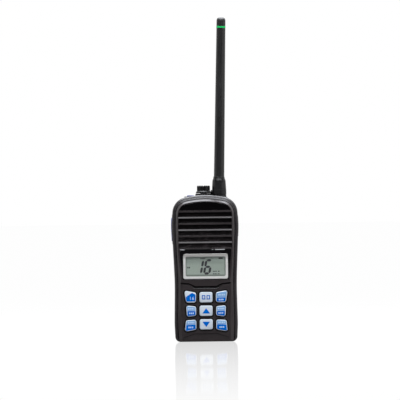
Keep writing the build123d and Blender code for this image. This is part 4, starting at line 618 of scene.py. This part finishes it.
keyPrint = {
    "front": -19.55, "depth": 0.12, "inset": 0.72, "round": 0.5, "steps": 4,
    "arrowHalf": 3.6, "arrowRise": 5.0, "markRound": 0.2,
    # two open squares, each of four bars given as (dx, dz, half width, half height)
    "squares": (-2.2, 2.2),
    "squareBars": ((-1.2, 0, 0.42, 2.0), (1.2, 0, 0.42, 2.0), (0, 1.6, 1.2, 0.4), (0, -1.6, 1.2, 0.4)),
    "house": ((-18.9, 0.4), (-13.0, 4.3), (-9.9, 2.7), (-9.9, -3.7), (-18.0, -3.9), (-18.8, -1.6)), "houseRound": 0.7,
    # the line between the halves of a side key: its outer and inner end's reach and dz, and the gap that it leaves
    "lineReach": (21.0, 8.0), "lineGap": 0.18,
    "line": {"upper": (-0.2, -0.9), "middle": (-0.1, -0.1), "lower": (-0.6, 0.1)},
    "upperDashes": (1.5, 0.9, 1.5, 0.9), "lowerDashes": (1.2, 1.2, 1.2), "dashHeight": 1.5, "dashGap": 0.45,
    "dashRound": 0.3, "dashProud": 0.03,
}
keyFigures = {
    "text": "16", "x": -13.4, "dz": -1.1, "height": 3.1, "capital": 0.7, "half": 0.03, "bold": 0.012, "space": 1.15,
    "smooth": 4, "sunk": 0.005,
}


def printedPlate(bm, corners, finishName, rounding, proud=0.0):
    # thin raised print on a key
    before = set(bm.faces)
    face = sheetFace(bm, corners, keyPrint["front"] + keyPrint["depth"], rounding, keyPrint["steps"])
    raised(bm, [face], keyPrint["depth"] + proud)
    for made in set(bm.faces) - before:
        made.material_index = capIndex[finishName]


def addFigures(bm, z):
    # plain figures as thin raised print
    curve = bpy.data.curves.new("figures", "FONT")
    curve.body = keyFigures["text"]
    curve.align_x, curve.align_y = "CENTER", "CENTER"
    curve.size = keyFigures["height"] / keyFigures["capital"]
    curve.extrude = keyFigures["half"]
    curve.offset = keyFigures["bold"]
    curve.space_character = keyFigures["space"]
    curve.resolution_u = keyFigures["smooth"]
    holder = bpy.data.objects.new("figures", curve)
    bpy.context.scene.collection.objects.link(holder)
    bpy.context.view_layer.update()
    mesh = bpy.data.meshes.new_from_object(holder)
    place = (keyFigures["x"], keyPrint["front"] + keyFigures["sunk"], z + keyFigures["dz"])
    mesh.transform(Matrix.Translation(place) @ Matrix.Rotation(math.pi / 2, 4, "X"))
    before = set(bm.faces)
    bm.from_mesh(mesh)
    for made in set(bm.faces) - before:
        made.material_index = capIndex["light"]
    bpy.data.objects.remove(holder)
    bpy.data.meshes.remove(mesh)


def addCentrePrint(bm, row):
    z = keyMiddle(row)
    if row == "upper":
        for x in keyPrint["squares"]:
            for dx, dz, half, rise in keyPrint["squareBars"]:
                bar = boxCorners(x + dx - half, x + dx + half, z + dz - rise, z + dz + rise)
                printedPlate(bm, bar, "blue", keyPrint["markRound"])
        return
    up = 1 if row == "middle" else -1
    tip, foot = z + up * keyPrint["arrowRise"] / 2, z - up * keyPrint["arrowRise"] / 2
    half = keyPrint["arrowHalf"]
    printedPlate(bm, [(-half, foot), (half, foot), (0, tip)], "blue", keyPrint["markRound"])


def addDashes(bm, corners, widths):
    # a row of plain pale dashes in the middle of a printed half
    middleX = sum(x for x, _ in corners) / len(corners)
    middleZ = sum(z for _, z in corners) / len(corners)
    rise, gap = keyPrint["dashHeight"] / 2, keyPrint["dashGap"]
    left = middleX - (sum(widths) + gap * (len(widths) - 1)) / 2
    for width in widths:
        dash = boxCorners(left, left + width, middleZ - rise, middleZ + rise)
        printedPlate(bm, dash, "light", keyPrint["dashRound"], keyPrint["dashProud"])
        left += width + gap


def addSidePrint(bm, row, side):
    z = keyMiddle(row)
    if (row, side) == ("upper", "left"):
        printedPlate(bm, [(x, z + dz) for x, dz in keyPrint["house"]], "blue", keyPrint["houseRound"])
        addFigures(bm, z)
        return
    field = insetCorners(keyCorners(row, side), keyPrint["inset"])
    way = -1 if side == "left" else 1
    left, right = sorted((way * reach, z + dz) for reach, dz in zip(keyPrint["lineReach"], keyPrint["line"][row]))
    gap = keyPrint["lineGap"]
    upper = halfOf(field, (left[0], left[1] + gap), (right[0], right[1] + gap), keepBelow=False)
    lower = halfOf(field, left, right, keepBelow=True)
    printedPlate(bm, upper, "pale", keyPrint["round"])
    printedPlate(bm, lower, "blue", keyPrint["round"])
    addDashes(bm, upper, keyPrint["upperDashes"])
    addDashes(bm, lower, keyPrint["lowerDashes"])


def makeKey(row, side):
    bm = bmesh.new()
    corners = keyCorners(row, side)
    cap = sheetFace(bm, corners, keypad["root"], keyRounding(side), keypad["steps"])
    top = raised(bm, [cap], keypad["root"] - keypad["front"])
    rim = list({edge for face in top for edge in face.edges})
    bmesh.ops.bevel(bm, geom=rim, offset=keypad["softEdge"], segments=keypad["edgeSteps"], profile=0.5,
                    affect="EDGES", material=-1)
    before = set(bm.faces)
    flange = sheetFace(bm, insetCorners(corners, -keypad["flange"]), keypad["back"])
    raised(bm, [flange], keypad["back"] - keypad["flangeFront"])
    # painted shade: the flange is near-black so that the gap round the key looks dark
    for made in set(bm.faces) - before:
        made.material_index = capIndex["flange"]
    if side == "centre":
        addCentrePrint(bm, row)
    else:
        addSidePrint(bm, row, side)
    piece = finished(bm, f"cap_{row}_{side}", f"key_{row}_{side}_body", list(capFinish.values()))
    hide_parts(f"key_{row}_{side}")


wellShadowRing = {"gap": 0.5, "width": 0.85, "proud": 0.03}


def makeWellShadowRings():
    # painted shadow: dark matt rings on the field round the nine key openings, where the openings' shade falls
    bm = bmesh.new()
    grow = wellShadowRing["gap"] + wellShadowRing["width"]
    for row in rowStep:
        for side in sides:
            field = sheetFace(bm, insetCorners(keyCorners(row, side), -grow), fieldY, keyRounding(side) + grow)
            bmesh.ops.inset_region(bm, faces=[field], thickness=wellShadowRing["width"], use_boundary=True,
                                   use_even_offset=True)
            bmesh.ops.delete(bm, geom=[field], context="FACES")
    raised(bm, bm.faces[:], wellShadowRing["proud"])
    finished(bm, "key_well_shadow_rings", "case", [wellShade])


for row in rowStep:
    for side in sides:
        makeKey(row, side)
makeWellShadowRings()
print("keys made")

display = {
    "front": -17.93, "back": -17.9, "slant": 0.19, "foot": 64.1, "height": 12.3, "width": 4.9, "bar": 2.1, "gap": 0.22,
    "digits": (("bc", -9.35), ("acdefg", -1.5)),
    "dots": {"x": (-4.3, -3.1, -1.9, -0.7), "half": 0.42, "foot": 77.5, "head": 78.6, "round": 0.2},
    "lampSign": {"x": (-16.6, -15.2), "half": 0.55, "foot": 69.0, "head": 70.4, "round": 0.2},
    "battery": ((12.3, 16.2, 77.5, 78.9, 0.2), (16.3, 16.8, 77.9, 78.5, 0.0)),
    "rowHalf": 0.45, "rowRound": 0.15,
    "rows": {66.0: ((6.8, 7.8), (8.2, 9.2), (9.6, 10.4), (11.6, 13.0)),
             63.6: ((6.8, 8.2), (8.6, 9.8), (10.2, 10.8), (11.6, 13.0))},
}


def barCorners(start, end, half):
    # six-cornered segment between two points (x, z)
    along = Vector((end[0] - start[0], end[1] - start[1])).normalized()
    side = Vector((-along.y, along.x)) * half
    a, b = Vector(start) + along * half, Vector(end) - along * half
    return [tuple(p) for p in (Vector(start), a + side, b + side, Vector(end), b - side, a - side)]


def flatMark(bm, corners, rounding=0.0):
    face = sheetFace(bm, corners, display["back"], rounding, steps=3)
    raised(bm, [face], display["back"] - display["front"])


def makeSegments():
    bm = bmesh.new()
    w, h, g = display["width"], display["height"], display["gap"]
    spots = {
        "a": ((g, h), (w - g, h)), "b": ((w, h - g), (w, h / 2 + g)), "c": ((w, h / 2 - g), (w, g)),
        "d": ((g, 0), (w - g, 0)), "e": ((0, h / 2 - g), (0, g)), "f": ((0, h - g), (0, h / 2 + g)),
        "g": ((g, h / 2), (w - g, h / 2)),
    }
    for lit, left in display["digits"]:
        for name in lit:
            corners = barCorners(*spots[name], display["bar"] / 2)
            flatMark(bm, [(left + x + display["slant"] * z, display["foot"] + z) for x, z in corners])
    # small plain marks round the figures
    for mark in (display["dots"], display["lampSign"]):
        for x in mark["x"]:
            flatMark(bm, boxCorners(x - mark["half"], x + mark["half"], mark["foot"], mark["head"]), mark["round"])
    for *box, rounding in display["battery"]:
        flatMark(bm, boxCorners(*box), rounding)
    for z, spans in display["rows"].items():
        for low, high in spans:
            flatMark(bm, boxCorners(low, high, z - display["rowHalf"], z + display["rowHalf"]), display["rowRound"])
    finished(bm, "display_segments", "case", [segmentDark])


makeSegments()
print("display made")


def bandFace(bm, line, rise, drop, y):
    # a band that follows a line of (x, z) points, from rise above it to drop below it
    return sheetFace(bm, [(x, z + rise) for x, z in line] + [(x, z - drop) for x, z in reversed(line)], y)


darkBands = {
    "brow_shadow_gap": {"line": ((-23.5, 55.8), (-16.0, 55.1), (-9.8, 52.3), (9.8, 52.3), (16.0, 55.1), (23.5, 55.8)),
                        "rise": 0.0, "drop": 1.1, "y": -17.3, "proud": 0.05},
    "chin_step_shadow": {"line": ((-21.2, 4.0), (-10.8, 7.3), (10.8, 7.3), (21.2, 4.0)),
                  "rise": 0.4, "drop": 0.0, "y": fieldY, "proud": 0.04},
}


def makeDarkBands():
    # painted shadow: black lines in the groove over the keypad and along the chin step, where their shade falls
    for name, band in darkBands.items():
        bm = bmesh.new()
        raised(bm, [bandFace(bm, band["line"], band["rise"], band["drop"], band["y"])], band["proud"])
        finished(bm, name, "case", [wellBlack])


browLip = {
    "line": ((-12.6, 53.57), (-9.8, 52.3), (9.8, 52.3), (12.6, 53.57)), "drop": 1.35, "height": 1.15, "proud": 0.42,
    "root": 0.3, "slope": 0.85, "near": 0.01,
}


def makeBrowLip():
    # shining lip under the groove, its upper edge leaning back
    bm = bmesh.new()
    drop, near = browLip["drop"], browLip["near"]
    face = bandFace(bm, browLip["line"], -drop, drop + browLip["height"], fieldY + browLip["root"])
    front = raised(bm, [face], browLip["proud"] + browLip["root"])
    upper = [v for face in front for v in face.verts
             if any(abs(v.co.x - x) < near and abs(v.co.z - z + drop) < near for x, z in browLip["line"])]
    bmesh.ops.translate(bm, verts=upper, vec=(0, 0, -browLip["slope"]))
    finished(bm, "brow_lip", "case", [edgeGloss])


panelBeads = {
    "spans": ((-23.6, -19.4), (6.0, 7.2), (9.0, 18.2)), "y": -19.1, "top": 86.85, "height": 1.0, "proud": 0.36,
    "root": 0.05, "slope": 0.6, "round": 0.3, "topZone": 0.35,
}


def makePanelBeads():
    # short polished beads along the head of the display panel
    bm = bmesh.new()
    top = panelBeads["top"]
    for left, right in panelBeads["spans"]:
        face = sheetFace(bm, boxCorners(left, right, top - panelBeads["height"], top),
                         panelBeads["y"] + panelBeads["root"], panelBeads["round"], steps=3)
        front = raised(bm, [face], panelBeads["proud"] + panelBeads["root"])
        upper = [v for face in front for v in face.verts if v.co.z > top - panelBeads["topZone"]]
        bmesh.ops.translate(bm, verts=upper, vec=(0, 0, -panelBeads["slope"]))
    finished(bm, "panel_edge_beads", "case", [edgeGloss])


crownRim = {
    "frontY": -14.0, "within": 0.2, "lowZ": 114.0, "fullZ": 130.0, "proud": 1.1, "outerProud": 0.04, "nearShell": 0.8,
    "facing": -0.99, "merge": 0.001,
}


def makeCrownRim():
    # the sloping rim on the case's flat front edge round its shoulders and crown
    outline = cadNodes["front_shell"].data.vertices
    tree = KDTree(len(outline))
    for index, vertex in enumerate(outline):
        tree.insert((vertex.co.x, 0, vertex.co.z), index)
    tree.balance()
    bm = bmesh.new()
    bm.from_mesh(cadNodes["rear_case"].data)
    bmesh.ops.remove_doubles(bm, verts=bm.verts, dist=crownRim["merge"] * mm)
    flat = set()
    for face in bm.faces:
        middle = face.calc_center_median() / mm
        level = face.normal.y < crownRim["facing"] and abs(middle.y - crownRim["frontY"]) < crownRim["within"]
        if level and middle.z > crownRim["lowZ"]:
            flat.add(face)
    bmesh.ops.delete(bm, geom=list(set(bm.faces) - flat), context="FACES")
    grown = bmesh.ops.extrude_face_region(bm, geom=bm.faces[:], use_keep_orig=True)["geom"]
    for vertex in [g for g in grown if isinstance(g, bmesh.types.BMVert)]:
        gap = tree.find((vertex.co.x, 0, vertex.co.z))[2]
        share = min(max((vertex.co.z / mm - crownRim["lowZ"]) / (crownRim["fullZ"] - crownRim["lowZ"]), 0), 1)
        reach = crownRim["proud"] * share if gap < crownRim["nearShell"] * mm else 0
        vertex.co.y -= (crownRim["outerProud"] + reach) * mm
    print("crown rim:", len(flat), "faces")
    bmesh.ops.scale(bm, verts=bm.verts, vec=(1 / mm,) * 3)
    finished(bm, "crown_rim", "case", [casePlastic])


knobFoot = {
    "at": (-1.1, 0.5), "steps": 48, "seal": (7.55, 7.8, 137.0, 137.95), "stop": (6.3, 6.9, 138.9, 139.2),
    "stopHalf": 100.0, "ribMiddle": (6.8, 5.9, 139.6), "ribSize": (2.4, 2.0, 5.2), "ribRound": 0.5,
}


def makeKnobFoot():
    # rubber ring at the collar's foot, a stop arc under the knob's skirt and a rib beside the antenna; the dark ring
    # and arc are real parts and also painted shadow under the collar and the skirt
    bm = bmesh.new()
    rib = bmesh.ops.create_cube(bm, size=1.0)["verts"]
    bmesh.ops.scale(bm, verts=rib, vec=knobFoot["ribSize"])
    bmesh.ops.translate(bm, verts=rib, vec=knobFoot["ribMiddle"])
    bmesh.ops.bevel(bm, geom=bm.edges[:], offset=knobFoot["ribRound"], offset_type="OFFSET", segments=3, profile=0.5,
                    affect="EDGES", material=-1)
    half = knobFoot["stopHalf"]
    for key, start, turn in (("seal", 0.0, 360.0), ("stop", -half, 2 * half)):
        inner, outer, foot, head = knobFoot[key]
        section = ((inner, foot), (outer, foot), (outer, head), (inner, head))
        sweptBand(bm, knobFoot["at"], section, start, turn, knobFoot["steps"])
    finished(bm, "knob_foot_seal_and_shadow", "case", [collarRubber])


bootGrip = {
    "at": (13.6, 0.5), "front": -90.0, "core": 4.9, "stepAngle": 4.0, "padProud": 0.03, "padHalf": 26.0,
    # the boot's own outline as (radius, z)
    "outline": ((6.27, 149.7), (6.25, 150.4), (6.2, 151.2), (6.02, 151.7), (5.84, 152.1), (5.5, 153.0), (5.36, 153.8),
                (5.24, 154.5)),
    "turn": 33.0, "half": 7.5, "wall": 3.0, "proud": 0.16, "foot": ((6.3, 149.9), (6.3, 150.5)),
}


def makeBootGrips():
    # smooth pad on the boot's front and the two raised horseshoes beside it
    bm = bmesh.new()

    def band(outline, proud, start, turn):
        core = bootGrip["core"]
        section = [(core, outline[0][1]), *((reach + proud, z) for reach, z in outline), (core, outline[-1][1])]
        steps = max(2, round(turn / bootGrip["stepAngle"]))
        sweptBand(bm, bootGrip["at"], section, bootGrip["front"] + start, turn, steps)

    half, wall = bootGrip["half"], bootGrip["wall"]
    band(bootGrip["outline"], bootGrip["padProud"], -bootGrip["padHalf"], 2 * bootGrip["padHalf"])
    for middle in (-bootGrip["turn"], bootGrip["turn"]):
        for edge in (-half, half - wall):
            band(bootGrip["outline"][1:], bootGrip["proud"], middle + edge, wall)
        band(bootGrip["foot"], bootGrip["proud"], middle - half, 2 * half)
    finished(bm, "boot_grips", "antenna", [bootRubber])


packSeal = {"inner": 24.2, "outer": 25.8, "foot": 5.0, "head": 92.0, "back": 8.16, "thickness": 0.12, "round": 0.5}


def makePackSeal():
    # two foam strips in the gap between the case and the battery
    bm = bmesh.new()
    for way in (-1, 1):
        corners = boxCorners(way * packSeal["inner"], way * packSeal["outer"], packSeal["foot"], packSeal["head"])
        strip = sheetFace(bm, corners, packSeal["back"], packSeal["round"], steps=3)
        raised(bm, [strip], packSeal["thickness"])
    finished(bm, "pack_seal_strips", "case", [wellBlack])


makeDarkBands()
makeBrowLip()
makePanelBeads()
makeCrownRim()
makeKnobFoot()
makeBootGrips()
makePackSeal()
print("trim made")

floorLook = {
    "half": 30.0, "drop": 0.0002, "paperShade": 0.02, "paperGlow": 0.98, "glossGlow": 0.3, "bounceShade": 0.1,
    "mirrorRough": 0.03, "mirror": (0.31, 0.05), "mirrorSpan": (0.15, 1.75),
}


def makeFloor():
    # white paper sweep that mirrors the set faintly, more so close to it
    bm = bmesh.new()
    bmesh.ops.create_grid(bm, x_segments=1, y_segments=1, size=floorLook["half"])
    bmesh.ops.translate(bm, verts=bm.verts, vec=(0, 0, -floorLook["drop"]))
    mesh = bpy.data.meshes.new("studio_floor")
    bm.to_mesh(mesh)
    bm.free()
    floor = bpy.data.objects.new("studio_floor", mesh)
    bpy.context.scene.collection.objects.link(floor)
    finish = Finish("white_sweep")
    shown = finish.seenDirectly()
    lit, shadowed = (finish.node("ShaderNodeBsdfDiffuse", {"Color": (floorLook[key],) * 3 + (1,)}).outputs["BSDF"]
                     for key in ("bounceShade", "paperShade"))
    glossy = finish.node("ShaderNodeLightPath").outputs["Is Glossy Ray"]
    level = finish.spread(glossy, floorLook["paperGlow"], floorLook["glossGlow"])
    glow = finish.node("ShaderNodeEmission", {"Color": (1, 1, 1, 1)}, {"Strength": level}).outputs["Emission"]
    paper = finish.node("ShaderNodeAddShader", links={0: shadowed, 1: glow}).outputs["Shader"]
    mirror = finish.node("ShaderNodeBsdfGlossy", {"Color": (1, 1, 1, 1), "Roughness": floorLook["mirrorRough"]})
    away = finish.sums("ABSOLUTE", finish.parts(finish.place)["Y"], 0.0)
    fade = finish.spread(away, *floorLook["mirror"], *floorLook["mirrorSpan"])
    finish.replaceShader(finish.mixed(shown, lit, finish.mixed(fade, paper, mirror.outputs["BSDF"])))
    mesh.materials.append(finish.material)


worldLook = {"tint": (0.96, 0.98, 1.0, 1), "ambient": 0.35, "dimLevel": 0.02, "dimSpan": (-0.75, -0.05)}


def makeWorld():
    # white to the camera, soft ambient light otherwise, and a dimmer room in front for what the gloss mirrors
    world = bpy.data.worlds.new("studio_white")
    bpy.context.scene.world = world
    world.use_nodes = True
    chain = NodeChain(world.node_tree)
    direction = chain.node("ShaderNodeTexCoord").outputs["Generated"]
    dim = chain.spread(chain.parts(direction)["Y"], worldLook["dimLevel"], 1.0, *worldLook["dimSpan"],
                       interpolation_type="SMOOTHSTEP")
    camera = chain.node("ShaderNodeLightPath").outputs["Is Camera Ray"]
    backdrop = world.node_tree.nodes["Background"]
    backdrop.inputs["Color"].default_value = (1, 1, 1, 1)
    chain.link(chain.sums("MAXIMUM", camera, dim), backdrop.inputs["Strength"])
    ambient = chain.node("ShaderNodeBackground", {"Color": worldLook["tint"], "Strength": worldLook["ambient"]})
    mix = chain.mixed(chain.seenDirectly(), ambient.outputs["Background"], backdrop.outputs["Background"])
    chain.link(mix, world.node_tree.nodes["World Output"].inputs["Surface"])


lamps = {
    "key_lamp": {"place": (-0.7, -1.3, 1.1), "aim": 0.12, "power": 2.0, "size": 0.7, "tint": (1, 1, 1)},
    "top_lamp": {"place": (0.05, -0.42, 1.25), "aim": 0.14, "power": 42.0, "size": 1.7, "tint": (0.93, 0.96, 1.0)},
    "back_lamp": {"place": (0.05, 0.4, 1.3), "aim": 0.14, "power": 34.0, "size": 1.3, "tint": (0.9, 0.94, 1.0)},
    "side_lamp": {"place": (1.2, -0.7, 0.5), "aim": 0.12, "power": 2.0, "size": 0.6, "tint": (1, 1, 1)},
}


def addPanelLamp(name, settings):
    # square panel aimed at a height on the set's axis
    lamp = bpy.data.lights.new(name, "AREA")
    lamp.shape = "SQUARE"
    lamp.size = settings["size"]
    lamp.energy = settings["power"]
    lamp.color = settings["tint"]
    holder = bpy.data.objects.new(name, lamp)
    bpy.context.scene.collection.objects.link(holder)
    holder.location = settings["place"]
    toAim = Vector((0, 0, settings["aim"])) - Vector(settings["place"])
    holder.rotation_euler = toAim.to_track_quat("-Z", "Y").to_euler()


frontCamera = {
    "lens": 574.5, "sensor": 36.0, "clipEnd": 100.0, "place": (-0.00447, -6.0, 0.13297), "pitch": 90, "roll": 0.7,
}


def makeCamera():
    camera = bpy.data.cameras.new("front_camera")
    camera.lens = frontCamera["lens"]
    camera.sensor_width = frontCamera["sensor"]
    camera.clip_end = frontCamera["clipEnd"]
    holder = bpy.data.objects.new("front_camera", camera)
    bpy.context.scene.collection.objects.link(holder)
    holder.location = frontCamera["place"]
    holder.rotation_euler = (math.radians(frontCamera["pitch"]), math.radians(frontCamera["roll"]), 0)
    bpy.context.scene.camera = holder


makeFloor()
makeWorld()
for name, settings in lamps.items():
    addPanelLamp(name, settings)
makeCamera()
bpy.context.scene.view_settings.view_transform = "Standard"
print("studio set")
